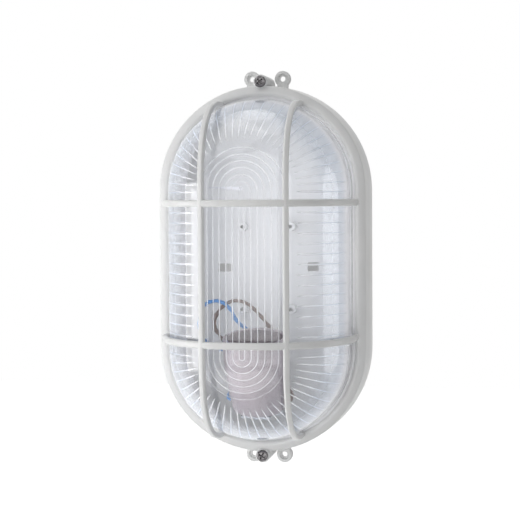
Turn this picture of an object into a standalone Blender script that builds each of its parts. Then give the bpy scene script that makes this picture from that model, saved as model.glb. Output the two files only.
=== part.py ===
"""Oval bulkhead light: a moulded tray, a pressed glass bowl, a moulded guard and a screw lampholder.

Metres, +Z up. The origin is the middle of the housing's back face, which lies on the wall, and the
front of the light faces -Y. A depth is a distance ahead of the wall, so depth d is the plane y = -d.
The outline is an oval of two half circles and two straight sides, long axis on Z.
"""

import math

import bmesh
import bpy
from mathutils import Matrix, Vector

MM = 0.001
WELD = 0.005 * MM

# Clearances
SEAT_GAP = 0.3 * MM
DROP_GAP = 0.5 * MM
THREAD_GAP = 0.3 * MM

# Oval outline
HALF_STRAIGHT = 55.0 * MM
RING_RADIUS = 73.0 * MM
ARC_STEPS = 24

# Housing tray
SIDE_DEPTH = 20.0 * MM
BACK_FLARE = 0.8 * MM
PLATE = 3.0 * MM
WALL = 3.0 * MM
EDGE_ROUND = 0.8 * MM
LIP_GAP = 0.7 * MM
LIP_WALL = 1.2 * MM
LIP_OVERLAP = 2.0 * MM
LEDGE_THICK = 2.5 * MM
LEDGE_SLOPE = 5.5 * MM
LEDGE_INSET = 0.6 * MM

# Guard ring
BAND_WIDTH = 7.2 * MM
BAND_RISE = 3.2 * MM
BAND_THICK = 3.6 * MM
BAND_ROUND = 0.7 * MM
SKIRT_DEPTH = 10.7 * MM
SKIRT_FLARE = 0.8 * MM
SKIRT_WALL = 1.8 * MM

# Guard bars, whose axes follow a flattened dome
BAR_RADIUS = 2.5 * MM
BAR_GAP = 0.9 * MM
BAR_FOOT_RISE = 0.9 * MM
BAR_STANDOFF = 6.0 * MM
UPRIGHT_X = 28.1 * MM
UPRIGHT_POWER = 2.5
CROSS_Z = 46.6 * MM
BAR_SIDES = 10
CROSS_STEPS = 22
UPRIGHT_END_STEPS = 10

# Glass bowl
BOWL_GAP = 1.6 * MM
BOWL_HEIGHT = 66.0 * MM
BOWL_POWER = 2.2
BOWL_STEPS = 12
GLASS_WALL = 3.5 * MM
FLANGE_THICK = 4.0 * MM
GASKET_THICK = 2.2 * MM
GASKET_WIDTH = 4.6 * MM

# Cover screws, their lugs on the guard and their bosses on the housing
SCREW_REACH = 2.8 * MM
LUG_RADIUS = 5.0 * MM
LUG_RISE = 1.3 * MM
COVER_HEAD_RADIUS = 4.0 * MM
COVER_HEAD_HEIGHT = 2.4 * MM
COVER_SHANK_RADIUS = 1.95 * MM
COVER_SHANK_LENGTH = 22.0 * MM
BOSS_RADIUS = 5.2 * MM
INSERT_WALL = 0.8 * MM
INSERT_LENGTH = 8.0 * MM
BOSS_FLOOR = 6.0 * MM

# Fixing ears
EAR_X = 11.1 * MM
EAR_REACH = 6.8 * MM
EAR_RADIUS = 5.7 * MM
EAR_THICK = 4.6 * MM
EAR_HOLE_RADIUS = 1.95 * MM
EAR_RECESS_RADIUS = 3.3 * MM
EAR_RECESS_DEPTH = 1.2 * MM
EAR_WEB_WIDTH = 7.6 * MM

# Back plate details
SLOT_RIGHT = 31.0 * MM
SLOT_LEFT = 35.3 * MM
SLOT_WIDTH = 9.0 * MM
SLOT_HEIGHT = 6.0 * MM
POST_X = 17.0 * MM
POST_Z = 29.5 * MM
POST_RADIUS = 3.3 * MM
POST_HEIGHT = 6.0 * MM
POST_BORE = 1.3 * MM
PAD_HEIGHT = 3.0 * MM
PAD_MARGIN = 1.5 * MM
BLIND_FLOOR = 1.2 * MM

# Lampholder, measured along its own axis from its rear face to its mouth
HOLDER_TILT = math.radians(12.0)
HOLDER_REAR_DEPTH = 44.4 * MM
HOLDER_RISE = 31.9 * MM
HOLDER_LENGTH = 52.5 * MM
HOLDER_MOUTH_RADIUS = 22.5 * MM
HOLDER_REAR_RADIUS = 17.8 * MM
HOLDER_WAIST = 22.0 * MM
HOLDER_CHAMFER = 1.5 * MM
MOUTH_BORE = 19.0 * MM
MOUTH_DEPTH = 12.5 * MM
SHELL_RADIUS = 14.9 * MM
SHELL_WALL = 0.7 * MM
SHELL_PROUD = 2.0 * MM
SHELL_RING = 4.4 * MM
CAVITY_FLOOR = 14.0 * MM
POCKET_INNER = 6.5 * MM
POCKET_WIDTH = 9.0 * MM
POCKET_DEPTH = 10.0 * MM

# Lampholder contacts and terminals
STRIP_THICK = 0.9 * MM
STRIP_WIDTH = 4.0 * MM
CONTACT_TIP = 5.0 * MM
TERMINAL_REAR = 2.6 * MM
TERMINAL_OUTER = 15.4 * MM
TERMINAL_BORE = 1.7 * MM
TERMINAL_CLEAR = 1.0 * MM
TERMINAL_SCREW_RADIUS = 1.4 * MM
TERMINAL_HEAD_RADIUS = 2.0 * MM
TERMINAL_HEAD_HEIGHT = 1.4 * MM

# Lampholder bracket and the screws on both its legs
BRACKET_THICK = 1.2 * MM
BRACKET_WIDTH = 20.0 * MM
BRACKET_FOOT = 17.0 * MM
BRACKET_NOSE = 13.5 * MM
BRACKET_BEND = 2.0 * MM
BRACKET_SCREW_X = 5.5 * MM
HOLDER_SCREW_SPREAD = 8.5 * MM
SMALL_SHANK_RADIUS = 1.5 * MM
SMALL_HEAD_RADIUS = 2.9 * MM
SMALL_HEAD_HEIGHT = 1.8 * MM
SMALL_SHANK_LENGTH = 5.6 * MM

# Terminal block on its pad
BLOCK_RISE = 38.1 * MM
BLOCK_WIDTH = 26.0 * MM
BLOCK_LENGTH = 17.0 * MM
BLOCK_HEIGHT = 12.5 * MM
BLOCK_PITCH = 13.0 * MM
SLEEVE_SIDE = 6.4 * MM
SLEEVE_LENGTH = 15.0 * MM
SLEEVE_BORE = 1.8 * MM
CLAMP_SPREAD = 4.2 * MM
CLAMP_RADIUS = 1.5 * MM
CLAMP_LENGTH = 5.2 * MM

# Cable entry
ENTRY_RISE = 18.1 * MM
ENTRY_RADIUS = 6.6 * MM
CABLE_RADIUS = 4.0 * MM
GROMMET_FLANGE = 2.4 * MM
GROMMET_THICK = 1.7 * MM

# Inner wires
WIRE_RADIUS = 1.25 * MM
WIRE_INSERTION = 3.0 * MM
WIRE_LEAD = 4.0 * MM
WIRE_BESIDE = 3.6 * MM
WIRE_DROP = 3.0 * MM
WIRE_STEPS = 4

# Depths that follow from the sizes above
DEPTH_SKIRT = SIDE_DEPTH + SEAT_GAP
DEPTH_RING = DEPTH_SKIRT + SKIRT_DEPTH
DEPTH_BAND = DEPTH_RING + BAND_RISE
DEPTH_UNDER = DEPTH_BAND - BAND_THICK
DEPTH_FLANGE = DEPTH_UNDER - SEAT_GAP
DEPTH_FLANGE_BACK = DEPTH_FLANGE - FLANGE_THICK
DEPTH_GASKET = DEPTH_FLANGE_BACK - SEAT_GAP
DEPTH_GASKET_BACK = DEPTH_GASKET - GASKET_THICK
DEPTH_SEAT = DEPTH_GASKET_BACK - SEAT_GAP
DEPTH_APEX = DEPTH_RING + BOWL_HEIGHT
DEPTH_LUG = DEPTH_RING + LUG_RISE
DEPTH_PAD = PLATE + PAD_HEIGHT

# Radii that follow
SIDE_RADIUS = RING_RADIUS + SKIRT_FLARE
SKIRT_INNER = RING_RADIUS - SKIRT_WALL
LIP_OUTER = SKIRT_INNER - LIP_GAP
LIP_INNER = LIP_OUTER - LIP_WALL
FLANGE_RADIUS = LIP_INNER - DROP_GAP
SEAT_INNER = FLANGE_RADIUS - GASKET_WIDTH - LEDGE_INSET
TRAY_INNER = SIDE_RADIUS - WALL
BAND_INNER = RING_RADIUS - BAND_WIDTH
BOWL_RADIUS = BAND_INNER - BOWL_GAP
BAR_FOOT_RADIUS = BOWL_RADIUS + BAR_GAP + BAR_RADIUS
CAGE_HEIGHT = BOWL_HEIGHT + BAR_STANDOFF
SCREW_Z = HALF_STRAIGHT + RING_RADIUS + SCREW_REACH
EAR_Z = HALF_STRAIGHT + RING_RADIUS + EAR_REACH
INSERT_INNER = COVER_SHANK_RADIUS + THREAD_GAP
INSERT_OUTER = INSERT_INNER + INSERT_WALL
CAVITY_RADIUS = SHELL_RADIUS + DROP_GAP
SHELL_TOP = HOLDER_LENGTH - MOUTH_DEPTH + SHELL_PROUD
HOLDER_REAR_Z = HOLDER_RISE - HALF_STRAIGHT - RING_RADIUS
BLOCK_Z = HOLDER_REAR_Z + BLOCK_RISE
ENTRY_Z = HOLDER_REAR_Z + ENTRY_RISE
BLOCK_BACK = DEPTH_PAD + SEAT_GAP
SLEEVE_DEPTH = BLOCK_BACK + BLOCK_HEIGHT / 2
BRACKET_DEPTH = DEPTH_PAD + SEAT_GAP + BRACKET_THICK / 2

# Colour, roughness, metallic and transmission of each finish
FINISHES = {
    "white_moulding": ((0.80, 0.81, 0.82), 0.42, 0.0, 0.0),
    "clear_glass": ((0.92, 0.96, 0.97), 0.04, 0.0, 1.0),
    "grey_rubber": ((0.16, 0.16, 0.17), 0.75, 0.0, 0.0),
    "zinc_steel": ((0.62, 0.63, 0.65), 0.30, 1.0, 0.0),
    "brass": ((0.78, 0.60, 0.30), 0.28, 1.0, 0.0),
    "porcelain": ((0.83, 0.80, 0.78), 0.18, 0.0, 0.0),
    "aluminium": ((0.78, 0.79, 0.80), 0.32, 1.0, 0.0),
    "polyamide": ((0.86, 0.86, 0.84), 0.45, 0.0, 0.0),
    "blue_pvc": ((0.10, 0.28, 0.62), 0.40, 0.0, 0.0),
    "brown_pvc": ((0.22, 0.12, 0.09), 0.40, 0.0, 0.0),
}


def clear_scene():
    """Removes whatever the scene holds."""
    for obj in list(bpy.data.objects):
        bpy.data.objects.remove(obj, do_unlink=True)


def new_collection(name, shown):
    """A collection in the scene; a hidden one holds the cutters."""
    found = bpy.data.collections.new(name)
    found.hide_render = not shown
    bpy.context.scene.collection.children.link(found)
    return found


clear_scene()
PARTS = new_collection("bulkhead_light", True)
CUTTERS = new_collection("bulkhead_light_cutters", False)


def dress(obj, finish):
    """Gives a sub-part a material of its own in one of the finishes."""
    color, roughness, metallic, transmission = FINISHES[finish]
    made = bpy.data.materials.new(f"{obj.name}_{finish}")
    made.use_nodes = True
    shader = made.node_tree.nodes["Principled BSDF"]
    shader.inputs["Base Color"].default_value = (*color, 1.0)
    shader.inputs["Roughness"].default_value = roughness
    shader.inputs["Metallic"].default_value = metallic
    shader.inputs["Transmission Weight"].default_value = transmission
    obj.data.materials.append(made)


def place(name, data, finish=None, parent=None):
    """Links new data as a sub-part, or as a cutter where it has no finish."""
    obj = bpy.data.objects.new(name, data)
    obj.parent = parent
    if finish is None:
        CUTTERS.objects.link(obj)
        obj.hide_render = True
        obj.display_type = "WIRE"
    else:
        PARTS.objects.link(obj)
        dress(obj, finish)
    return obj


def boolean(obj, other, operation):
    """Adds one exact Boolean step."""
    step = obj.modifiers.new(f"{operation.lower()}_{other.name}", "BOOLEAN")
    step.operation = operation
    step.object = other
    step.solver = "EXACT"


def cut(obj, *cutters):
    """Takes each cutter out of the object."""
    for cutter in cutters:
        boolean(obj, cutter, "DIFFERENCE")


def join(obj, *pieces):
    """Adds each piece to the object."""
    for piece in pieces:
        boolean(obj, piece, "UNION")


def smooth(mesh, degrees=35.0):
    """Shades a mesh smooth up to an edge angle."""
    mesh.shade_smooth()
    mesh.set_sharp_from_angle(angle=math.radians(degrees))


def mesh_of(name, bm):
    """Turns a bmesh into a smooth-shaded mesh."""
    mesh = bpy.data.meshes.new(name)
    bm.to_mesh(mesh)
    bm.free()
    smooth(mesh)
    return mesh


def box(name, x, depth, z, finish=None, parent=None):
    """A box between two values of x, of depth and of z."""
    bm = bmesh.new()
    bmesh.ops.create_cube(bm, size=2.0)
    low, high = -max(depth), -min(depth)
    for vert in bm.verts:
        vert.co = (
            max(x) if vert.co.x > 0 else min(x),
            high if vert.co.y > 0 else low,
            max(z) if vert.co.z > 0 else min(z),
        )
    return place(name, mesh_of(name, bm), finish, parent)


def rod(name, radius, span, at, axis="Y", sides=24, finish=None, parent=None):
    """A cylinder along an axis.

    span holds its start and end along the axis, as depths for "Y", and at holds the other two coordinates.
    """
    bm = bmesh.new()
    half_step = Matrix.Rotation(math.pi / sides, 4, "Z")
    bmesh.ops.create_cone(
        bm, cap_ends=True, segments=sides, radius1=radius, radius2=radius, depth=2.0, matrix=half_step
    )
    for vert in bm.verts:
        across, up, end = vert.co
        if axis == "Y":
            vert.co = (at[0] + across, -min(span) if end < 0 else -max(span), at[1] + up)
        elif axis == "X":
            vert.co = (max(span) if end > 0 else min(span), at[0] + across, at[1] + up)
        else:
            vert.co = (at[0] + across, at[1] + up, max(span) if end > 0 else min(span))
    return place(name, mesh_of(name, bm), finish, parent)


def turned(name, profile, finish, parent=None, steps=32):
    """A turned solid: a profile of (radius, height) down its outer side, carried round Z by a Screw."""
    mesh = bpy.data.meshes.new(name)
    points = [(radius, 0.0, height) for radius, height in profile]
    pairs = [(i, i + 1) for i in range(len(points) - 1)]
    if profile[0][0] > 0:
        pairs.append((len(points) - 1, 0))
    mesh.from_pydata(points, pairs, [])
    obj = place(name, mesh, finish, parent)
    screw = obj.modifiers.new("turn", "SCREW")
    screw.steps = steps
    screw.render_steps = steps
    screw.use_merge_vertices = True
    screw.merge_threshold = WELD
    return obj


def face_front(obj, x, depth, z):
    """Stands a piece that is built along +Z on a depth, with its +Z towards the front."""
    obj.location = (x, -depth, z)
    obj.rotation_euler = (math.radians(90), 0.0, 0.0)


def oval_solid(name, section, finish, closed=False):
    """Carries a section of (radius, depth) points round the oval outline.

    The section is turned half way round the upper arc centre, its two ends are drawn down to the
    middle plane, and a Mirror makes the lower half.
    """
    bm = bmesh.new()
    points = [bm.verts.new((radius, -depth, HALF_STRAIGHT)) for radius, depth in section]
    pairs = list(zip(points, points[1:]))
    if closed:
        pairs.append((points[-1], points[0]))
    edges = [bm.edges.new(pair) for pair in pairs]
    turn = bmesh.ops.spin(
        bm,
        geom=points + edges,
        cent=(0.0, 0.0, HALF_STRAIGHT),
        axis=(0.0, -1.0, 0.0),
        angle=math.pi,
        steps=ARC_STEPS,
    )
    ends = edges + [part for part in turn["geom_last"] if isinstance(part, bmesh.types.BMEdge)]
    drawn = bmesh.ops.extrude_edge_only(bm, edges=ends)
    for part in drawn["geom"]:
        if isinstance(part, bmesh.types.BMVert):
            part.co.z = 0.0
    bmesh.ops.remove_doubles(bm, verts=bm.verts, dist=WELD)
    bmesh.ops.dissolve_degenerate(bm, edges=bm.edges, dist=WELD)
    bmesh.ops.recalc_face_normals(bm, faces=bm.faces)
    if bm.calc_volume(signed=True) < 0:
        bmesh.ops.reverse_faces(bm, faces=bm.faces)
    obj = place(name, mesh_of(name, bm), finish)
    mirror = obj.modifiers.new("lower_half", "MIRROR")
    mirror.use_axis = (False, False, True)
    mirror.merge_threshold = WELD
    return obj


def oval_half_height(radius, x):
    """Height of the oval of this radius above the middle, at x."""
    return HALF_STRAIGHT + math.sqrt(radius**2 - x**2)


def oval_half_width(radius, z):
    """Half width of the oval of this radius at height z."""
    beyond = max(0.0, abs(z) - HALF_STRAIGHT)
    return math.sqrt(radius**2 - beyond**2)


def dome(share, power):
    """Height share of a flattened dome at this share of its radius."""
    return max(0.0, 1.0 - abs(share) ** power) ** (1.0 / power)


def dome_profile(radius, base, top, power, steps):
    """(radius, depth) points from the foot of a dome up to its middle."""
    found = []
    for step in range(steps + 1):
        angle = math.pi / 2 * step / steps
        out = max(0.0, math.cos(angle)) ** (2 / power)
        up = math.sin(angle) ** (2 / power)
        found.append((radius * out if step < steps else 0.0, base + (top - base) * up))
    return found


def strip(name, path, width, thick, finish, parent=None, bend=0.0):
    """A metal strip: an open sheet along a path in the Y-Z plane, rounded at its corners, thickened."""
    points = rounded_path(path, bend)
    half = width / 2
    vertices = [(side * half, y, z) for y, z in points for side in (-1, 1)]
    faces = [(2 * i, 2 * i + 1, 2 * i + 3, 2 * i + 2) for i in range(len(points) - 1)]
    mesh = bpy.data.meshes.new(name)
    mesh.from_pydata(vertices, [], faces)
    obj = place(name, mesh, finish, parent)
    wall = obj.modifiers.new("thickness", "SOLIDIFY")
    wall.thickness = thick
    wall.offset = 0.0
    wall.use_even_offset = True
    return obj


def rounded_path(path, bend, steps=4):
    """The path with an arc of the bend radius at each inner corner."""
    if bend == 0.0:
        return path
    found = [Vector(path[0])]
    for before, corner, after in zip(path, path[1:], path[2:]):
        corner = Vector(corner)
        first = (Vector(before) - corner).normalized()
        second = (Vector(after) - corner).normalized()
        half = first.angle(second) / 2
        reach = bend / math.tan(half)
        middle = corner + (first + second).normalized() * bend / math.sin(half)
        start = (corner + first * reach - middle).normalized()
        end = (corner + second * reach - middle).normalized()
        for step in range(steps + 1):
            found.append(middle + start.slerp(end, step / steps) * bend)
    return found + [Vector(path[-1])]


def smooth_route(points, steps):
    """Points of a smooth curve through the route's own points, each span cut into equal steps."""
    route = [Vector(point) for point in points]
    route = [2 * route[0] - route[1]] + route + [2 * route[-1] - route[-2]]
    found = []
    for a, b, c, d in zip(route, route[1:], route[2:], route[3:]):
        for step in range(steps):
            t = step / steps
            found.append(
                0.5 * (2 * b + (c - a) * t + (2 * a - 5 * b + 4 * c - d) * t**2
                       + (3 * b - a - 3 * c + d) * t**3)
            )
    return found + [route[-2]]


def tube(name, points, radius, finish=None, resolution=2):
    """A round bar or wire: a curve of straight steps with a bevel and filled caps."""
    curve = bpy.data.curves.new(name, "CURVE")
    curve.dimensions = "3D"
    curve.bevel_depth = radius
    curve.bevel_resolution = resolution
    curve.use_fill_caps = True
    spline = curve.splines.new("POLY")
    spline.points.add(len(points) - 1)
    for control, point in zip(spline.points, points):
        control.co = (*point, 1.0)
    return place(name, curve, finish)


def solid_from_curve(obj):
    """Makes a tube into a closed mesh that a Boolean can read."""
    bpy.context.view_layer.update()
    graph = bpy.context.evaluated_depsgraph_get()
    mesh = bpy.data.meshes.new_from_object(obj.evaluated_get(graph))
    bm = bmesh.new()
    bm.from_mesh(mesh)
    bmesh.ops.remove_doubles(bm, verts=bm.verts, dist=WELD)
    bmesh.ops.recalc_face_normals(bm, faces=bm.faces)
    bm.to_mesh(mesh)
    bm.free()
    name = obj.name
    matrix = obj.matrix_world.copy()
    bpy.data.objects.remove(obj, do_unlink=True)
    made = place(name, mesh)
    made.matrix_world = matrix
    return made


def both(value):
    """The value on either side of the middle."""
    return (value, -value)


def base_housing():
    """The tray: back plate, side wall, seat and lip, with its ears, bosses, posts and pads."""
    back = SIDE_RADIUS + BACK_FLARE
    section = [
        (0.0, 0.0),
        (back - EDGE_ROUND, 0.0),
        (back, EDGE_ROUND),
        (SIDE_RADIUS, SIDE_DEPTH),
        (LIP_OUTER, SIDE_DEPTH),
        (LIP_OUTER, DEPTH_FLANGE_BACK + LIP_OVERLAP),
        (LIP_INNER, DEPTH_FLANGE_BACK + LIP_OVERLAP),
        (LIP_INNER, DEPTH_SEAT),
        (SEAT_INNER, DEPTH_SEAT),
        (SEAT_INNER, DEPTH_SEAT - LEDGE_THICK),
        (TRAY_INNER, DEPTH_SEAT - LEDGE_THICK - LEDGE_SLOPE),
        (TRAY_INNER, PLATE),
        (0.0, PLATE),
    ]
    housing = oval_solid("base_housing", section, "white_moulding")
    add_ears(housing)
    add_bosses(housing)
    add_posts(housing)
    add_pads(housing)
    cut_slots(housing)


def add_ears(housing):
    """Four fixing ears on the wall plane, each with a web, a hole and a recess for a screw head."""
    for end, z in zip(("top", "bottom"), both(EAR_Z)):
        for side, x in zip(("right", "left"), both(EAR_X)):
            name = f"ear_{end}_{side}"
            inner = math.copysign(oval_half_height(TRAY_INNER, EAR_X + EAR_WEB_WIDTH / 2), z)
            web_x = (x - EAR_WEB_WIDTH / 2, x + EAR_WEB_WIDTH / 2)
            join(
                housing,
                rod(name, EAR_RADIUS, (0.0, EAR_THICK), (x, z)),
                box(f"{name}_web", web_x, (0.0, EAR_THICK), sorted((inner, z))),
            )
            floor = EAR_THICK - EAR_RECESS_DEPTH
            cut(
                housing,
                rod(f"{name}_hole", EAR_HOLE_RADIUS, (-MM, EAR_THICK + MM), (x, z)),
                rod(f"{name}_recess", EAR_RECESS_RADIUS, (floor, EAR_THICK + MM), (x, z)),
            )


def add_bosses(housing):
    """A blind boss at each end for a cover screw's insert."""
    for end, z in zip(("top", "bottom"), both(SCREW_Z)):
        bore = INSERT_OUTER + THREAD_GAP
        join(housing, rod(f"boss_{end}", BOSS_RADIUS, (0.0, SIDE_DEPTH), (0.0, z), sides=32))
        cut(housing, rod(f"boss_{end}_bore", bore, (BOSS_FLOOR, SIDE_DEPTH + MM), (0.0, z)))


def add_posts(housing):
    """Four blind posts on the back plate."""
    for row, z in zip(("upper", "lower"), both(POST_Z)):
        for side, x in zip(("right", "left"), both(POST_X)):
            name = f"post_{row}_{side}"
            top = PLATE + POST_HEIGHT
            join(housing, rod(name, POST_RADIUS, (PLATE / 2, top), (x, z), sides=20))
            cut(housing, rod(f"{name}_bore", POST_BORE, (BLIND_FLOOR, top + MM), (x, z), sides=16))


def add_pads(housing):
    """Raised pads under the terminal block, the cable entry and the bracket's foot, with their holes."""
    bracket_low, bracket_high = bracket_foot_span()
    half_block = BLOCK_WIDTH / 2 + PAD_MARGIN
    half_foot = BRACKET_WIDTH / 2 + PAD_MARGIN
    block_z = (BLOCK_Z - BLOCK_LENGTH / 2 - PAD_MARGIN, BLOCK_Z + BLOCK_LENGTH / 2 + PAD_MARGIN)
    collar = ENTRY_RADIUS + GROMMET_FLANGE + PAD_MARGIN
    join(
        housing,
        box("block_pad", both(-half_block), (PLATE / 2, DEPTH_PAD), block_z),
        box("bracket_pad", both(-half_foot), (PLATE / 2, DEPTH_PAD), (bracket_low, bracket_high)),
        rod("entry_pad", collar, (PLATE / 2, DEPTH_PAD), (0.0, ENTRY_Z), sides=32),
    )
    thread = SMALL_SHANK_RADIUS + THREAD_GAP
    blind = (BLIND_FLOOR, DEPTH_PAD + MM)
    cut(housing, rod("block_pad_bore", thread, blind, (0.0, BLOCK_Z), sides=16))
    for side, x in zip(("right", "left"), both(BRACKET_SCREW_X)):
        cut(housing, rod(f"bracket_pad_bore_{side}", thread, blind, (x, bracket_screw_z()), sides=16))
    recess = ENTRY_RADIUS + GROMMET_FLANGE + DROP_GAP
    cut(
        housing,
        rod("entry_hole", ENTRY_RADIUS + SEAT_GAP, (-MM, DEPTH_PAD + MM), (0.0, ENTRY_Z), sides=32),
        rod("entry_recess", recess, (-MM, PAD_HEIGHT), (0.0, ENTRY_Z), sides=32),
    )


def cut_slots(housing):
    """Two slots through the back plate for the screws of a round wall box."""
    for side, x in (("right", SLOT_RIGHT), ("left", -SLOT_LEFT)):
        slot_x = (x - SLOT_WIDTH / 2, x + SLOT_WIDTH / 2)
        slot_z = (-SLOT_HEIGHT / 2, SLOT_HEIGHT / 2)
        cut(housing, box(f"slot_{side}", slot_x, (-MM, PLATE + MM), slot_z))


def guard_frame():
    """The guard: a ring with a sloping band and a skirt, four bars and two screw lugs, in one piece."""
    section = [
        (SIDE_RADIUS, DEPTH_SKIRT),
        (RING_RADIUS, DEPTH_RING - BAND_ROUND),
        (RING_RADIUS - BAND_ROUND, DEPTH_RING + BAND_ROUND / 2),
        (BAND_INNER + BAND_ROUND, DEPTH_BAND),
        (BAND_INNER, DEPTH_BAND - BAND_ROUND),
        (BAND_INNER, DEPTH_UNDER),
        (SKIRT_INNER, DEPTH_UNDER),
        (SIDE_RADIUS - SKIRT_WALL, DEPTH_SKIRT),
    ]
    guard = oval_solid("guard_frame", section, "white_moulding", closed=True)
    for side, x in zip(("right", "left"), both(UPRIGHT_X)):
        join(guard, solid_from_curve(bar(f"upright_{side}", upright_points(x))))
    for row, z in zip(("upper", "lower"), both(CROSS_Z)):
        join(guard, solid_from_curve(bar(f"cross_{row}", cross_points(z))))
    for end, z in zip(("top", "bottom"), both(SCREW_Z)):
        hole = COVER_SHANK_RADIUS + THREAD_GAP
        join(guard, rod(f"lug_{end}", LUG_RADIUS, (DEPTH_SKIRT, DEPTH_LUG), (0.0, z), sides=32))
        cut(guard, rod(f"lug_{end}_hole", hole, (DEPTH_SKIRT - MM, DEPTH_LUG + MM), (0.0, z)))


def bar(name, points):
    """One guard bar, before it joins the ring."""
    return tube(name, points, BAR_RADIUS, resolution=(BAR_SIDES - 4) // 2)


def cage_height(x):
    """How far the cross bars stand ahead of their feet at x."""
    return (CAGE_HEIGHT - BAR_FOOT_RISE) * dome(x / BAR_FOOT_RADIUS, BOWL_POWER)


def cross_points(z):
    """The axis of a cross bar at height z."""
    reach = oval_half_width(BAR_FOOT_RADIUS, z)
    foot = DEPTH_RING + BAR_FOOT_RISE
    points = []
    for step in range(CROSS_STEPS + 1):
        angle = math.pi * step / CROSS_STEPS
        across = math.copysign(abs(math.cos(angle)) ** (2 / BOWL_POWER), math.cos(angle))
        if step in (0, CROSS_STEPS):
            across = round(across)
        ahead = cage_height(across * BAR_FOOT_RADIUS)
        points.append((-across * reach, -foot - ahead, z))
    return points


def upright_points(x):
    """The axis of an upright bar at x: flat between the arc centres, then boxy ends down to the ring."""
    reach = oval_half_height(BAR_FOOT_RADIUS, x)
    foot = DEPTH_RING + BAR_FOOT_RISE
    top = cage_height(x)
    upper = []
    for step in range(UPRIGHT_END_STEPS + 1):
        angle = math.pi / 2 * step / UPRIGHT_END_STEPS
        out = max(0.0, math.cos(angle)) ** (2 / UPRIGHT_POWER)
        out = 0.0 if step == UPRIGHT_END_STEPS else out
        ahead = top * dome(out, UPRIGHT_POWER)
        upper.append((x, -foot - ahead, HALF_STRAIGHT + out * (reach - HALF_STRAIGHT)))
    lower = [(px, py, -pz) for px, py, pz in reversed(upper)]
    return upper + lower


def glass_bowl():
    """The glass bowl: a flange under the guard's ring and a dome of even wall."""
    outer = dome_profile(BOWL_RADIUS, DEPTH_FLANGE, DEPTH_APEX, BOWL_POWER, BOWL_STEPS)
    inner = dome_profile(
        BOWL_RADIUS - GLASS_WALL, DEPTH_FLANGE_BACK, DEPTH_APEX - GLASS_WALL, BOWL_POWER, BOWL_STEPS
    )
    flange = [(FLANGE_RADIUS, DEPTH_FLANGE_BACK), (FLANGE_RADIUS, DEPTH_FLANGE)]
    oval_solid("glass_bowl", inner[::-1] + flange + outer, "clear_glass")


def bowl_gasket():
    """The seal between the housing's seat and the glass flange."""
    section = [
        (FLANGE_RADIUS, DEPTH_GASKET_BACK),
        (FLANGE_RADIUS, DEPTH_GASKET),
        (FLANGE_RADIUS - GASKET_WIDTH, DEPTH_GASKET),
        (FLANGE_RADIUS - GASKET_WIDTH, DEPTH_GASKET_BACK),
    ]
    oval_solid("bowl_gasket", section, "grey_rubber", closed=True)


def pan_screw(name, head_radius, head_height, shank_radius, shank_length, finish, parent=None, steps=24):
    """A pan head screw along +Z with its seat at the origin and a cross recess in its head."""
    edge = head_height * 0.45
    profile = [
        (0.0, head_height),
        (head_radius * 0.55, head_height),
        (head_radius * 0.88, head_height * 0.80),
        (head_radius, edge),
        (head_radius, 0.0),
        (shank_radius, 0.0),
        (shank_radius, shank_radius * 0.6 - shank_length),
        (shank_radius * 0.4, -shank_length),
        (0.0, -shank_length),
    ]
    screw = turned(name, profile, finish, parent, steps)
    cut(screw, cross_recess(f"{name}_recess", head_radius, head_height, screw))
    return screw


def cross_recess(name, head_radius, head_height, parent):
    """The cutter of a cross recess: a cross that narrows towards its floor."""
    arm = head_radius * 0.55
    slot = head_radius * 0.12
    corners = [(arm, slot), (slot, slot), (slot, arm)]
    outline = []
    for quarter in range(4):
        turn = Matrix.Rotation(math.pi / 2 * quarter, 2)
        outline += [turn @ Vector(corner) for corner in corners]
    bm = bmesh.new()
    low = [bm.verts.new((p.x * 0.7, p.y * 0.7, head_height * 0.4)) for p in outline]
    high = [bm.verts.new((p.x, p.y, head_height + MM)) for p in outline]
    bm.faces.new(low[::-1])
    bm.faces.new(high)
    for i in range(len(outline)):
        j = (i + 1) % len(outline)
        bm.faces.new((low[i], low[j], high[j], high[i]))
    return place(name, mesh_of(name, bm), parent=parent)


def cover_screws():
    """The two screws that hold the guard on, and the brass inserts that take them."""
    for end, z in zip(("top", "bottom"), both(SCREW_Z)):
        screw = pan_screw(
            f"cover_screw_{end}", COVER_HEAD_RADIUS, COVER_HEAD_HEIGHT,
            COVER_SHANK_RADIUS, COVER_SHANK_LENGTH, "zinc_steel",
        )
        face_front(screw, 0.0, DEPTH_LUG + SEAT_GAP, z)
        insert = turned(
            f"screw_insert_{end}",
            [
                (INSERT_OUTER, 0.0),
                (INSERT_OUTER, -INSERT_LENGTH),
                (INSERT_INNER, -INSERT_LENGTH),
                (INSERT_INNER, 0.0),
            ],
            "brass",
            steps=20,
        )
        face_front(insert, 0.0, SIDE_DEPTH - SEAT_GAP, z)


def holder_empty():
    """The lampholder's own frame: its rear face's centre, +Z along its axis, tilted to the front."""
    frame = bpy.data.objects.new("lampholder_axis", None)
    PARTS.objects.link(frame)
    frame.location = (0.0, -HOLDER_REAR_DEPTH, HOLDER_REAR_Z)
    frame.rotation_euler = (HOLDER_TILT, 0.0, 0.0)
    return frame


def holder_to_world(point):
    """A point of the lampholder's frame in world coordinates."""
    turn = Matrix.Rotation(HOLDER_TILT, 4, "X")
    return Matrix.Translation((0.0, -HOLDER_REAR_DEPTH, HOLDER_REAR_Z)) @ turn @ Vector(point)


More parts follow.
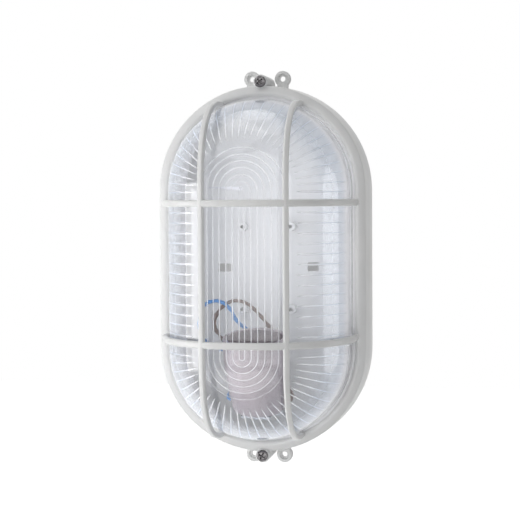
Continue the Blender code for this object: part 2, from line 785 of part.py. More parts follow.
def lampholder_body(frame):
    """The porcelain body: a tapered cup with a mouth, a shell cavity, a floor and terminal pockets."""
    mouth_floor = HOLDER_LENGTH - MOUTH_DEPTH
    profile = [
        (MOUTH_BORE, HOLDER_LENGTH),
        (HOLDER_MOUTH_RADIUS - HOLDER_CHAMFER / 2, HOLDER_LENGTH),
        (HOLDER_MOUTH_RADIUS, HOLDER_LENGTH - HOLDER_CHAMFER),
        (HOLDER_MOUTH_RADIUS - HOLDER_CHAMFER / 2, HOLDER_LENGTH - HOLDER_WAIST),
        (HOLDER_REAR_RADIUS, HOLDER_CHAMFER),
        (HOLDER_REAR_RADIUS - HOLDER_CHAMFER, 0.0),
        (0.0, 0.0),
    ]
    inside = [
        (0.0, CAVITY_FLOOR),
        (CAVITY_RADIUS, CAVITY_FLOOR),
        (CAVITY_RADIUS, mouth_floor),
        (MOUTH_BORE, mouth_floor),
    ]
    body = turned_cup("lampholder_body", profile, inside, frame)
    half = POCKET_WIDTH / 2
    floor = (-MM, CAVITY_FLOOR + MM)
    thread = SMALL_SHANK_RADIUS + THREAD_GAP
    for side, sign in (("live", 1), ("neutral", -1)):
        reach = sorted((sign * POCKET_INNER, sign * (HOLDER_MOUTH_RADIUS + MM)))
        hole_x = tab_x(side)
        gap = STRIP_THICK / 2 + DROP_GAP
        wide = STRIP_WIDTH / 2 + DROP_GAP
        cut(
            body,
            box(f"pocket_{side}", reach, (-half, half), (-MM, POCKET_DEPTH), parent=frame),
            box(f"tab_hole_{side}", (hole_x - gap, hole_x + gap), (-wide, wide), floor, parent=frame),
        )
    for side, y in zip(("rear", "front"), both(HOLDER_SCREW_SPREAD)):
        span = (-MM, SMALL_SHANK_LENGTH + MM)
        cut(body, rod(f"holder_bore_{side}", thread, span, (0.0, y), axis="Z", sides=16, parent=frame))


def turned_cup(name, profile, inside, frame):
    """A turned porcelain solid whose profile goes down the outside and back up the inside."""
    mesh = bpy.data.meshes.new(name)
    points = [(radius, 0.0, height) for radius, height in profile + inside]
    split = len(profile)
    pairs = [(i, i + 1) for i in range(len(points) - 1) if i != split - 1]
    pairs.append((len(points) - 1, 0))
    mesh.from_pydata(points, pairs, [])
    obj = place(name, mesh, "porcelain", frame)
    screw = obj.modifiers.new("turn", "SCREW")
    screw.steps = 36
    screw.render_steps = 36
    screw.use_merge_vertices = True
    screw.merge_threshold = WELD
    return obj


def tab_x(side):
    """Where each terminal's tab passes the porcelain floor."""
    if side == "live":
        return SHELL_RADIUS - SHELL_RING - DROP_GAP - STRIP_THICK
    return -(SHELL_RADIUS - SHELL_RING / 2)


def lampholder_shell(frame):
    """The metal screw shell: a thin tube with an inward ring on the porcelain floor."""
    low = CAVITY_FLOOR + SEAT_GAP
    inner = SHELL_RADIUS - SHELL_WALL
    profile = [
        (inner, SHELL_TOP),
        (SHELL_RADIUS, SHELL_TOP),
        (SHELL_RADIUS, low),
        (SHELL_RADIUS - SHELL_RING, low),
        (SHELL_RADIUS - SHELL_RING, low + SHELL_WALL),
        (inner, low + SHELL_WALL),
    ]
    turned("lampholder_shell", profile, "aluminium", frame, steps=36)


def lampholder_contact(frame):
    """The sprung centre contact: a strip on the floor that rises to the middle."""
    low = CAVITY_FLOOR + SEAT_GAP + STRIP_THICK / 2
    end = tab_x("live") + STRIP_THICK / 2
    path = [(-end, low), (-end * 0.4, low), (0.0, low + CONTACT_TIP), (end * 0.35, low + CONTACT_TIP * 0.75)]
    contact = strip("lampholder_centre_contact", path, STRIP_WIDTH, STRIP_THICK, "brass", frame, bend=MM)
    contact.rotation_euler = (0.0, 0.0, math.radians(90))


def lampholder_terminals(frame):
    """A brass terminal in each pocket, with its tab through the floor and its screw from the rear."""
    for side, sign in (("live", 1), ("neutral", -1)):
        name = f"lampholder_terminal_{side}"
        inner = POCKET_INNER + TERMINAL_CLEAR
        top = POCKET_DEPTH - TERMINAL_CLEAR
        half = POCKET_WIDTH / 2 - TERMINAL_CLEAR
        block_x = sorted((sign * inner, sign * TERMINAL_OUTER))
        block = box(name, block_x, (-half, half), (TERMINAL_REAR, top), "brass", frame)
        tab = tab_x(side)
        tab_span = (tab - STRIP_THICK / 2, tab + STRIP_THICK / 2)
        width = (-STRIP_WIDTH / 2, STRIP_WIDTH / 2)
        join(block, box(f"{name}_tab", tab_span, width, (top - MM, CAVITY_FLOOR), parent=frame))
        bore_x = sorted((sign * (inner + TERMINAL_CLEAR), sign * (TERMINAL_OUTER + MM)))
        screw_x = sign * terminal_screw_x()
        thread = TERMINAL_SCREW_RADIUS + THREAD_GAP
        wire_z = terminal_wire_z()
        cut(
            block,
            rod(f"{name}_bore", TERMINAL_BORE, bore_x, (0.0, wire_z), axis="X", sides=16, parent=frame),
            rod(f"{name}_thread", thread, (TERMINAL_REAR - MM, wire_z), (screw_x, 0.0), "Z", 16, None, frame),
        )
        shank = wire_z - TERMINAL_REAR - SEAT_GAP - WIRE_RADIUS
        screw = pan_screw(
            f"terminal_screw_{side}", TERMINAL_HEAD_RADIUS, TERMINAL_HEAD_HEIGHT,
            TERMINAL_SCREW_RADIUS, shank, "brass", frame, steps=16,
        )
        screw.location = (screw_x, 0.0, TERMINAL_REAR - SEAT_GAP)
        screw.rotation_euler = (math.radians(180), 0.0, 0.0)


def terminal_wire_z():
    """Height of the wire bores above the lampholder's rear face."""
    return (TERMINAL_REAR + POCKET_DEPTH - TERMINAL_CLEAR) / 2 + TERMINAL_CLEAR / 2


def terminal_screw_x():
    """Distance of the terminal screws from the lampholder's axis."""
    return TERMINAL_OUTER - TERMINAL_HEAD_RADIUS - DROP_GAP


def bracket_bend():
    """(y, z) of the bracket's corner, where its foot meets the leg under the lampholder."""
    below = SEAT_GAP + BRACKET_THICK / 2
    start = holder_to_world((0.0, 0.0, -below))
    along = (-BRACKET_DEPTH - start.y) / math.cos(HOLDER_TILT)
    return (-BRACKET_DEPTH, start.z + along * math.sin(HOLDER_TILT))


def bracket_foot_span():
    """Lowest and highest z of the pad under the bracket's foot."""
    bend = bracket_bend()[1]
    return (bend - BRACKET_FOOT - PAD_MARGIN, bend - BRACKET_BEND)


def bracket_screw_z():
    """Height of the screws in the bracket's foot."""
    return bracket_bend()[1] - BRACKET_FOOT * 0.6


def lampholder_bracket(frame):
    """The bent strip that carries the lampholder, with its four screws."""
    corner = bracket_bend()
    below = SEAT_GAP + BRACKET_THICK / 2
    nose = holder_to_world((0.0, -BRACKET_NOSE, -below))
    path = [(corner[0], corner[1] - BRACKET_FOOT), corner, (nose.y, nose.z)]
    bracket = strip(
        "lampholder_bracket", path, BRACKET_WIDTH, BRACKET_THICK, "zinc_steel", bend=BRACKET_BEND
    )
    hole = SMALL_SHANK_RADIUS + THREAD_GAP
    screw_z = bracket_screw_z()
    for side, x in zip(("right", "left"), both(BRACKET_SCREW_X)):
        span = (DEPTH_PAD, DEPTH_PAD + BRACKET_THICK + MM)
        cut(bracket, rod(f"foot_hole_{side}", hole, span, (x, screw_z), sides=16))
        screw = small_screw(f"bracket_screw_{side}", None)
        face_front(screw, x, DEPTH_PAD + 2 * SEAT_GAP + BRACKET_THICK, screw_z)
    seat = -2 * SEAT_GAP - BRACKET_THICK
    for side, y in zip(("rear", "front"), both(HOLDER_SCREW_SPREAD)):
        span = (seat - MM, MM)
        cut(bracket, rod(f"leg_hole_{side}", hole, span, (0.0, y), "Z", 16, None, frame))
        screw = small_screw(f"holder_screw_{side}", frame)
        screw.location = (0.0, y, seat)
        screw.rotation_euler = (math.radians(180), 0.0, 0.0)


def small_screw(name, parent):
    """A small pan head screw."""
    return pan_screw(
        name, SMALL_HEAD_RADIUS, SMALL_HEAD_HEIGHT, SMALL_SHANK_RADIUS, SMALL_SHANK_LENGTH,
        "zinc_steel", parent, steps=18,
    )


def terminal_block():
    """The two-way terminal block on its pad: body, sleeves, clamping screws and fixing screw."""
    half_width = BLOCK_WIDTH / 2
    front = BLOCK_BACK + BLOCK_HEIGHT
    z = (BLOCK_Z - BLOCK_LENGTH / 2, BLOCK_Z + BLOCK_LENGTH / 2)
    body = box("terminal_block_body", both(-half_width), (BLOCK_BACK, front), z, "polyamide")
    through = (z[0] - MM, z[1] + MM)
    for side, x in zip(("live", "neutral"), both(BLOCK_PITCH / 2)):
        half = SLEEVE_SIDE / 2 + SEAT_GAP
        channel = (SLEEVE_DEPTH - half, SLEEVE_DEPTH + half)
        cut(body, box(f"channel_{side}", (x - half, x + half), channel, through))
        sleeve = block_sleeve(side, x)
        for end, offset in zip(("upper", "lower"), both(CLAMP_SPREAD)):
            at = (x, BLOCK_Z + offset)
            well = CLAMP_RADIUS + DROP_GAP
            name = f"clamp_{side}_{end}"
            cut(body, rod(f"{name}_well", well, (SLEEVE_DEPTH, front + MM), at, sides=16))
            thread = (SLEEVE_DEPTH, SLEEVE_DEPTH + SLEEVE_SIDE)
            cut(sleeve, rod(f"{name}_thread", CLAMP_RADIUS + THREAD_GAP, thread, at, sides=16))
            clamp_screw(f"clamp_screw_{side}_{end}", at)
    thread = SMALL_SHANK_RADIUS + THREAD_GAP
    seat = BLOCK_BACK + SMALL_SHANK_LENGTH * 0.35
    well = SMALL_HEAD_RADIUS + THREAD_GAP
    cut(
        body,
        rod("block_bore", thread, (BLOCK_BACK - MM, front + MM), (0.0, BLOCK_Z), sides=16),
        rod("block_bore_well", well, (seat, front + MM), (0.0, BLOCK_Z), sides=20),
    )
    face_front(small_screw("terminal_block_screw", None), 0.0, seat + SEAT_GAP, BLOCK_Z)


def block_sleeve(side, x):
    """A square brass sleeve with a wire bore along Z."""
    half = SLEEVE_SIDE / 2
    z = (BLOCK_Z - SLEEVE_LENGTH / 2, BLOCK_Z + SLEEVE_LENGTH / 2)
    depth = (SLEEVE_DEPTH - half, SLEEVE_DEPTH + half)
    sleeve = box(f"terminal_sleeve_{side}", (x - half, x + half), depth, z, "brass")
    bore = (z[0] - MM, z[1] + MM)
    cut(sleeve, rod(f"sleeve_bore_{side}", SLEEVE_BORE, bore, (x, -SLEEVE_DEPTH), axis="Z", sides=16))
    return sleeve


def clamp_screw(name, at):
    """A headless clamping screw with a slot, down to the wire's bore."""
    low = SLEEVE_DEPTH + WIRE_RADIUS + SEAT_GAP
    span = (low, low + CLAMP_LENGTH)
    screw = rod(name, CLAMP_RADIUS, span, at, sides=16, finish="zinc_steel")
    slot = CLAMP_RADIUS * 0.25
    wide = CLAMP_RADIUS + MM
    depth = (span[1] - CLAMP_RADIUS * 0.6, span[1] + MM)
    cut(
        screw,
        box(f"{name}_slot", (at[0] - wide, at[0] + wide), depth, (at[1] - slot, at[1] + slot)),
    )


def cable_grommet():
    """The rubber grommet in the back plate's cable entry: two flanges and a neck."""
    flange = ENTRY_RADIUS + GROMMET_FLANGE
    front = DEPTH_PAD + SEAT_GAP + GROMMET_THICK
    back = PAD_HEIGHT - SEAT_GAP - GROMMET_THICK
    profile = [
        (CABLE_RADIUS, front),
        (flange - GROMMET_THICK / 2, front),
        (flange, DEPTH_PAD + SEAT_GAP),
        (ENTRY_RADIUS, DEPTH_PAD + SEAT_GAP),
        (ENTRY_RADIUS, PAD_HEIGHT - SEAT_GAP),
        (flange, PAD_HEIGHT - SEAT_GAP),
        (flange, back),
        (CABLE_RADIUS, back),
    ]
    grommet = turned("cable_grommet", profile, "grey_rubber", steps=28)
    face_front(grommet, 0.0, 0.0, ENTRY_Z)


def wire(name, side, route, finish):
    """An inner wire from a lampholder terminal to the terminal block.

    It leaves its terminal sideways and turns back close beside the lampholder. route holds the hand-set
    points from there to the block. Each is x as a share of the bowl's inner radius, depth as a share of
    the lampholder's, and rise above the lampholder's rear as a share of the terminal block's.
    """
    sign = 1 if side == "live" else -1
    mouth = TERMINAL_OUTER - WIRE_INSERTION
    start = [holder_to_world((sign * (mouth + step), 0.0, terminal_wire_z())) for step in (0, WIRE_LEAD)]
    beside = HOLDER_REAR_RADIUS + WIRE_BESIDE
    turn = [
        holder_to_world((sign * x * beside, back * beside, terminal_wire_z() + rise * WIRE_BESIDE))
        for x, back, rise in ((0.94, 0.05, 0.0), (1.0, 0.20, 0.0), (1.0, 0.42, 0.4), (0.9, 0.68, 1.1))
    ]
    top = BLOCK_Z + SLEEVE_LENGTH / 2
    sleeve_x = sign * BLOCK_PITCH / 2
    end = [Vector((sleeve_x, -SLEEVE_DEPTH, top + rise)) for rise in (WIRE_DROP, -WIRE_INSERTION)]
    inner = BOWL_RADIUS - GLASS_WALL
    middle = [
        Vector((x * inner, -depth * HOLDER_REAR_DEPTH, HOLDER_REAR_Z + rise * BLOCK_RISE))
        for x, depth, rise in route
    ]
    tube(name, smooth_route(start + turn + middle + end, WIRE_STEPS), WIRE_RADIUS, finish)


def wires():
    """The neutral and live wires, which run up behind the lampholder, loop above it and come back down."""
    neutral = [
        (-0.338, 0.619, 0.423), (-0.313, 0.563, 0.646), (-0.321, 0.541, 0.803), (-0.395, 0.541, 0.958),
        (-0.527, 0.563, 1.068), (-0.667, 0.608, 1.184), (-0.758, 0.644, 1.388), (-0.766, 0.653, 1.604),
        (-0.667, 0.669, 1.858), (-0.550, 0.676, 1.937), (-0.470, 0.667, 1.924), (-0.412, 0.642, 1.861),
        (-0.356, 0.597, 1.753), (-0.313, 0.509, 1.572), (-0.214, 0.405, 1.399),
    ]
    live = [
        (0.222, 0.518, 0.396), (0.066, 0.383, 0.462), (-0.115, 0.327, 0.528), (-0.255, 0.333, 0.659),
        (-0.321, 0.356, 0.843), (-0.395, 0.387, 1.039), (-0.494, 0.435, 1.223), (-0.565, 0.486, 1.420),
        (-0.555, 0.532, 1.617), (-0.484, 0.552, 1.793), (-0.371, 0.565, 1.919), (-0.255, 0.568, 1.929),
        (-0.148, 0.559, 1.853), (-0.058, 0.529, 1.719), (0.036, 0.462, 1.525),
    ]
    wire("wire_neutral", "neutral", neutral, "blue_pvc")
    wire("wire_live", "live", live, "brown_pvc")


base_housing()
guard_frame()
glass_bowl()
bowl_gasket()
cover_screws()
HOLDER_FRAME = holder_empty()
lampholder_body(HOLDER_FRAME)
lampholder_shell(HOLDER_FRAME)
lampholder_contact(HOLDER_FRAME)
lampholder_terminals(HOLDER_FRAME)
lampholder_bracket(HOLDER_FRAME)
terminal_block()
cable_grommet()
wires()
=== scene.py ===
"""Looks of an oval bulkhead light: a white moulded tray and guard, a ribbed pressed glass bowl, and
the porcelain lampholder, wires and terminal block that show through the glass.

Lengths in the classes are millimetres. A shape is worked out in x (to the viewer's right), depth
(ahead of the wall) and z (up), and to_row turns that into the row frame's metres.
"""

import sys
import logging
import math
from collections.abc import Sequence
from dataclasses import dataclass, field, replace
from enum import Enum

import bpy
import numpy as np
from mathutils import Matrix, Vector


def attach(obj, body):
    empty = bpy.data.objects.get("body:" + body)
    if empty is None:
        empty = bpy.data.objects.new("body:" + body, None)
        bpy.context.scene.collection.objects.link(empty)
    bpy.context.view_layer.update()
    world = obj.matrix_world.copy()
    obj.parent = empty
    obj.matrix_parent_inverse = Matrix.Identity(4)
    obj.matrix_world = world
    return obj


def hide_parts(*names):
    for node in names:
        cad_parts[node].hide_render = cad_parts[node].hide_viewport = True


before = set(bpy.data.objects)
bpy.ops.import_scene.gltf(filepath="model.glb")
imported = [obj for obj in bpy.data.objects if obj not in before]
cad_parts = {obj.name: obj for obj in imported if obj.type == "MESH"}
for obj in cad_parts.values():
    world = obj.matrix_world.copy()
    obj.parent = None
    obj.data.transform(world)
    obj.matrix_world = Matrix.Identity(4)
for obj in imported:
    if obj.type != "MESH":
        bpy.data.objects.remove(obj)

LOG = logging.getLogger("bulkhead_light")
MM = 0.001
WELD = 1e-7
CREASE = 35.0
Array = np.ndarray
Pair = tuple[float, float]
Triple = tuple[float, float, float]
Tree = bpy.types.NodeTree
Socket = bpy.types.NodeSocket


class Slot(Enum):
    """Material slots of the record."""

    WHITE = "white_moulding"
    GLASS = "clear_glass"
    RUBBER = "grey_rubber"
    ZINC = "zinc_steel"
    DARK = "dark_steel"
    BRASS = "brass"
    PORCELAIN = "porcelain"
    ALUMINIUM = "aluminium"
    POLYAMIDE = "polyamide"
    BLUE = "blue_pvc"
    BROWN = "brown_pvc"


# Surfaces


def to_row(points: Array) -> Array:
    """Turns points of (x, depth, z) in millimetres into row frame metres: depth runs along -Y."""
    return np.asarray(points, float) * np.array([MM, -MM, MM])


def stacked(*parts: Array | float) -> Array:
    """Coordinates that broadcast together, joined along a new last axis."""
    return np.stack(np.broadcast_arrays(*parts), -1)


def unit(rows: Array) -> Array:
    """The rows, each scaled to a length of 1."""
    return rows / np.linalg.norm(rows, axis=-1, keepdims=True)


def smoothstep(low: float, high: float, value: Array) -> Array:
    """The cubic 3t^2 - 2t^3, where t runs from 0 at low to 1 at high.

    Args:
        low: Where the step begins.
        high: Where it ends.
        value: What is measured.

    Returns:
        The step's height, from 0 to 1.
    """
    t = np.clip((value - low) / (high - low), 0.0, 1.0)
    return t * t * (3.0 - 2.0 * t)


def rounded(corners: Sequence[Triple], steps: int = 5, closed: bool = True) -> Array:
    """Rounds a polygon's corners: each becomes the arc that touches both of its sides.

    The arc's middle lies on the corner's bisector at radius / sin(half the corner's angle), and its
    points turn from one tangent point to the other by spherical interpolation.

    Args:
        corners: (first, second, radius) of each corner.
        steps: Spans in each arc.
        closed: Whether the last corner joins the first. An open line keeps its two ends sharp.

    Returns:
        Points of the rounded line, one row each.
    """
    table = np.asarray(corners, float)
    point, radius = table[:, :2], np.maximum(table[:, 2], 1e-6)
    before = np.roll(point, 1, 0) - point
    after = np.roll(point, -1, 0) - point
    if not closed:
        before[0], after[-1] = -after[0], -before[-1]
    before, after = unit(before), unit(after)
    half = np.arccos(np.clip((before * after).sum(1), -1.0, 1.0)) / 2
    straight = half > math.pi / 2 - 1e-4
    half = np.where(straight, math.pi / 4, half)
    reach = (radius / np.tan(half))[:, None]
    bisector = before + after
    bisector /= np.maximum(np.linalg.norm(bisector, axis=1, keepdims=True), 1e-9)
    middle = point + bisector * (radius / np.sin(half))[:, None]
    start, end = point + before * reach - middle, point + after * reach - middle
    turn = (math.pi - 2 * half)[:, None, None]
    t = np.linspace(0.0, 1.0, steps + 1)[None, :, None]
    arc = (np.sin((1 - t) * turn) * start[:, None] + np.sin(t * turn) * end[:, None]) / np.sin(turn)
    arc = middle[:, None] + arc
    arc = np.where(straight[:, None, None], point[:, None], arc)
    if not closed:
        arc[0], arc[-1] = point[0], point[-1]
    return arc.reshape(-1, 2)


def lattice(rows: int, columns: int, wrap_rows: bool, wrap_columns: bool) -> Array:
    """Corners of the four-sided faces of a grid of points numbered row by row.

    Args:
        rows: Points along the first parameter.
        columns: Points along the second.
        wrap_rows: Whether the last row joins the first.
        wrap_columns: Whether the last column joins the first.

    Returns:
        One row of four point numbers for each face.
    """
    i = np.arange(rows if wrap_rows else rows - 1)[:, None]
    j = np.arange(columns if wrap_columns else columns - 1)[None, :]
    down, right = (i + 1) % rows, (j + 1) % columns
    corners = (i * columns + j, down * columns + j, down * columns + right, i * columns + right)
    return stacked(*corners).reshape(-1, 4)


@dataclass
class Skin:
    """One closed surface: points in metres, and faces of four and of three corners."""

    points: Array
    quads: Array
    triangles: Array
    uv: Array | None = None
    mask: Array | None = None

    @staticmethod
    def from_grid(
        points: Array,
        wrap: tuple[bool, bool] = (True, False),
        uv: Array | None = None,
        mask: Array | None = None,
    ) -> "Skin":
        """Joins a grid's points into faces, welds the points that meet, and turns the faces outwards.

        Points that round to the same tenth of a micrometre become one, so a pole, a spine or a seam
        closes, and a face that loses a corner there becomes a triangle. The signed volume, a sixth of
        the sum of the triple products of the faces' corners, tells which way the faces point.

        Args:
            points: Grid of (x, depth, z) in millimetres.
            wrap: Whether the rows and the columns close on themselves.
            uv: Grid of two numbers for each point, kept as a UV map. Such a grid's points stay apart.
            mask: Grid of three numbers for each point, kept as the attribute "mask".

        Returns:
            The closed surface.
        """
        flat = to_row(points).reshape(-1, 3)
        quads = lattice(*points.shape[:2], *wrap)
        if uv is None:
            keys = np.round(flat / WELD).astype(np.int64)
            _, first, number = np.unique(keys, axis=0, return_index=True, return_inverse=True)
            quads = number.reshape(-1)[quads]
        else:
            first, uv = np.arange(len(flat)), uv.reshape(-1, 2)
        same = quads == np.roll(quads, -1, 1)
        lost = same.sum(1)
        triangles = quads[lost == 1][~same[lost == 1]].reshape(-1, 3)
        if mask is not None:
            mask = mask.reshape(-1, 3)[first]
        skin = Skin(flat[first], quads[lost == 0], triangles, uv, mask)
        if skin.volume() < 0:
            skin.quads, skin.triangles = skin.quads[:, ::-1], skin.triangles[:, ::-1]
        return skin

    def volume(self) -> float:
        """Signed volume inside the faces, positive when they point outwards."""
        quads = self.quads
        corners = np.concatenate([quads[:, [0, 1, 2]], quads[:, [0, 2, 3]], self.triangles])
        a, b, c = (self.points[corners[:, k]] for k in range(3))
        return float(np.einsum("ij,ij->i", a, np.cross(b, c)).sum() / 6)

    def turned_by(self, matrix: Matrix) -> "Skin":
        """The same surface moved by a matrix in metres, a turn and a shift without scale."""
        m = np.array(matrix)
        return replace(self, points=self.points @ m[:3, :3].T + m[:3, 3])


def mesh_of(name: str, skins: Sequence[Skin], crease: float = CREASE) -> bpy.types.Mesh:
    """Puts closed surfaces into one mesh, smooth but for edges sharper than the crease angle.

    Args:
        name: Name of the mesh.
        skins: The surfaces.
        crease: Angle in degrees from which an edge stays sharp.

    Returns:
        The mesh.
    """
    start = np.cumsum([0] + [len(skin.points) for skin in skins[:-1]])
    quads = np.concatenate([skin.quads + at for skin, at in zip(skins, start)])
    triangles = np.concatenate([skin.triangles + at for skin, at in zip(skins, start)])
    points = np.concatenate([skin.points for skin in skins])
    corners = np.concatenate([quads.ravel(), triangles.ravel()])
    starts = np.concatenate([np.arange(len(quads)) * 4, quads.size + np.arange(len(triangles)) * 3])
    mesh = bpy.data.meshes.new(name)
    mesh.vertices.add(len(points))
    mesh.vertices.foreach_set("co", points.astype(np.float32).ravel())
    mesh.loops.add(len(corners))
    mesh.loops.foreach_set("vertex_index", corners.astype(np.int32))
    mesh.polygons.add(len(starts))
    mesh.polygons.foreach_set("loop_start", starts.astype(np.int32))
    mesh.polygons.foreach_set("use_smooth", np.ones(len(starts), bool))
    if all(skin.uv is not None for skin in skins):
        uv = np.concatenate([skin.uv for skin in skins])
        layer = mesh.uv_layers.new(name="along_and_round")
        layer.data.foreach_set("uv", uv[corners].astype(np.float32).ravel())
    if all(skin.mask is not None for skin in skins):
        layer = mesh.attributes.new("mask", "FLOAT_VECTOR", "POINT")
        masks = np.concatenate([skin.mask for skin in skins])
        layer.data.foreach_set("vector", masks.astype(np.float32).ravel())
    mesh.update(calc_edges=True)
    mesh.validate()
    mesh.set_sharp_from_angle(angle=math.radians(crease))
    return mesh


# Finishes


def srgb(code: str) -> tuple[float, float, float, float]:
    """Linear colour of a hex sRGB value, by the standard curve with its short straight foot.

    Args:
        code: Six hex digits.

    Returns:
        Red, green, blue and an alpha of 1.
    """
    value = np.array([int(code[i : i + 2], 16) for i in (0, 2, 4)]) / 255
    linear = np.where(value <= 0.04045, value / 12.92, ((value + 0.055) / 1.055) ** 2.4)
    return (*(float(c) for c in linear), 1.0)


def add_node(
    tree: Tree,
    kind: str,
    values: dict[str | int, object] | None = None,
    links: dict[str | int, Socket] | None = None,
    **settings: object,
) -> bpy.types.Node:
    """Adds a node with its settings, socket values and links.

    Args:
        tree: The node tree.
        kind: Blender's name of the node type.
        values: Fixed values of input sockets.
        links: Output sockets that feed input sockets.
        **settings: The node's own properties.

    Returns:
        The node.
    """
    node = tree.nodes.new(kind)
    for key, value in settings.items():
        setattr(node, key, value)
    for key, value in (values or {}).items():
        node.inputs[key].default_value = value
    for key, output in (links or {}).items():
        tree.links.new(output, node.inputs[key])
    return node


def fresh_tree(owner: bpy.types.Material | bpy.types.World) -> Tree:
    """The emptied node tree of a material or a world.

    Args:
        owner: What has the tree.

    Returns:
        The tree.
    """
    owner.use_nodes = True
    owner.node_tree.nodes.clear()
    return owner.node_tree


def maths(tree: Tree, operation: str, *terms: float | Socket) -> Socket:
    """The result of a calculation on numbers and output sockets.

    Args:
        tree: The node tree.
        operation: Blender's name of the calculation.
        *terms: What it works on, in order.

    Returns:
        The output socket.
    """
    fixed = {at: term for at, term in enumerate(terms) if not isinstance(term, Socket)}
    links = {at: term for at, term in enumerate(terms) if isinstance(term, Socket)}
    return add_node(tree, "ShaderNodeMath", fixed, links, operation=operation).outputs[0]


def mapped(tree: Tree, value: Socket, span: Pair, onto: Pair, **settings: object) -> Socket:
    """A value carried from one span onto another, and held at that one's ends.

    Args:
        tree: The node tree.
        value: The value.
        span: What it runs between.
        onto: What the result runs between.
        **settings: The node's own properties.

    Returns:
        The output socket.
    """
    ends = dict(zip(("From Min", "From Max", "To Min", "To Max"), (*span, *onto)))
    return add_node(tree, "ShaderNodeMapRange", ends, {"Value": value}, **settings).outputs["Result"]


def noise(tree: Tree, where: Socket, size_mm: float, detail: float, roughness: float = 0.5) -> Socket:
    """A soft noise, 0.5 on average.

    Args:
        tree: The node tree.
        where: Coordinates in metres.
        size_mm: Size of its blotches.
        detail: Number of finer layers.
        roughness: Strength of each layer against the last.

    Returns:
        The output socket.
    """
    values = {"Scale": 1000.0 / size_mm, "Detail": detail, "Roughness": roughness}
    return add_node(tree, "ShaderNodeTexNoise", values, {"Vector": where}).outputs["Fac"]


def white_rays(tree: Tree, ray: bpy.types.Node) -> Socket:
    """1 for a ray of the camera, of a reflection or through glass, so that all three see white."""
    seen = maths(tree, "MAXIMUM", ray.outputs["Is Camera Ray"], ray.outputs["Is Glossy Ray"])
    return maths(tree, "MAXIMUM", seen, ray.outputs["Is Transmission Ray"])


@dataclass(frozen=True)
class Finish:
    """What every finish has: a base tone, a mottle that varies it, a grain that bumps it, and a gloss.

    The mottle is a soft noise that mixes two close tones. The grain is a fine noise read as height.
    Both are scaled from a real size in millimetres on Object coordinates. The tone and the gloss run
    from one end to the other while their noise runs across spread.
    """

    slot: Slot
    tone: str
    tone_low: str
    roughness: float
    roughness_swing: float = 0.06
    mottle_mm: float = 30.0
    grain_mm: float = 0.8
    grain_height_mm: float = 0.01
    metallic: float = 0.0
    ior: float = 1.5
    coat: float = 0.0
    stretch: Triple = (1.0, 1.0, 1.0)
    spread: Pair = (0.3, 0.7)
    extra: dict[str, float] = field(default_factory=dict)

    def material(self) -> bpy.types.Material:
        """The material of this finish, made once and then shared.

        Returns:
            The material.
        """
        found = bpy.data.materials.get(self.slot.value)
        if found is not None and found.get("dressed"):
            return found
        made = bpy.data.materials.new(self.slot.value)
        made["dressed"] = True
        tree = fresh_tree(made)
        place = {"Vector": self.coordinates(add_node(tree, "ShaderNodeTexCoord"))}
        where = add_node(tree, "ShaderNodeMapping", {"Scale": self.stretch}, place).outputs["Vector"]
        values = {"Metallic": self.metallic, "Coat Weight": self.coat, "Coat Roughness": 0.05, **self.extra}
        shader = add_node(tree, "ShaderNodeBsdfPrincipled", values)
        if self.metallic == 0.0:
            shader.inputs["IOR"].default_value = self.ior
        self.colour(tree, where, shader)
        self.surface(tree, where, shader)
        self.extras(tree, shader)
        add_node(tree, "ShaderNodeOutputMaterial", links={"Surface": shader.outputs["BSDF"]})
        return made

    def coordinates(self, place: bpy.types.Node) -> Socket:
        """The coordinates that the patterns read: the object's own."""
        return place.outputs["Object"]

    def colour(self, tree: Tree, where: Socket, shader: bpy.types.Node) -> None:
        """Mixes the two tones by the mottle.

        Args:
            tree: The material's tree.
            where: Coordinates in metres.
            shader: The node that takes the colour.
        """
        mottle = noise(tree, where, self.mottle_mm, 3.0, 0.55)
        ramp = add_node(tree, "ShaderNodeValToRGB", links={"Fac": mottle})
        for end, position, tone in zip(ramp.color_ramp.elements, self.spread, (self.tone_low, self.tone)):
            end.position, end.color = position, srgb(tone)
        tree.links.new(ramp.outputs["Color"], shader.inputs["Base Color"])

    def surface(self, tree: Tree, where: Socket, shader: bpy.types.Node) -> None:
        """Bumps the surface by the grain and lets the gloss follow a wider noise.

        Args:
            tree: The material's tree.
            where: Coordinates in metres.
            shader: The node that takes the normal and the roughness.
        """
        grain = noise(tree, where, self.grain_mm, 2.0, 0.6)
        values = {"Strength": 1.0, "Distance": self.grain_height_mm * MM}
        bump = add_node(tree, "ShaderNodeBump", values, {"Height": grain})
        tree.links.new(bump.outputs["Normal"], shader.inputs["Normal"])
        sheen = noise(tree, where, self.mottle_mm * 0.6, 2.0)
        ends = (self.roughness - self.roughness_swing, self.roughness + self.roughness_swing)
        tree.links.new(mapped(tree, sheen, self.spread, ends), shader.inputs["Roughness"])

    def extras(self, tree: Tree, shader: bpy.types.Node) -> None:
        """What a finish adds to these nodes: the usual one adds nothing."""


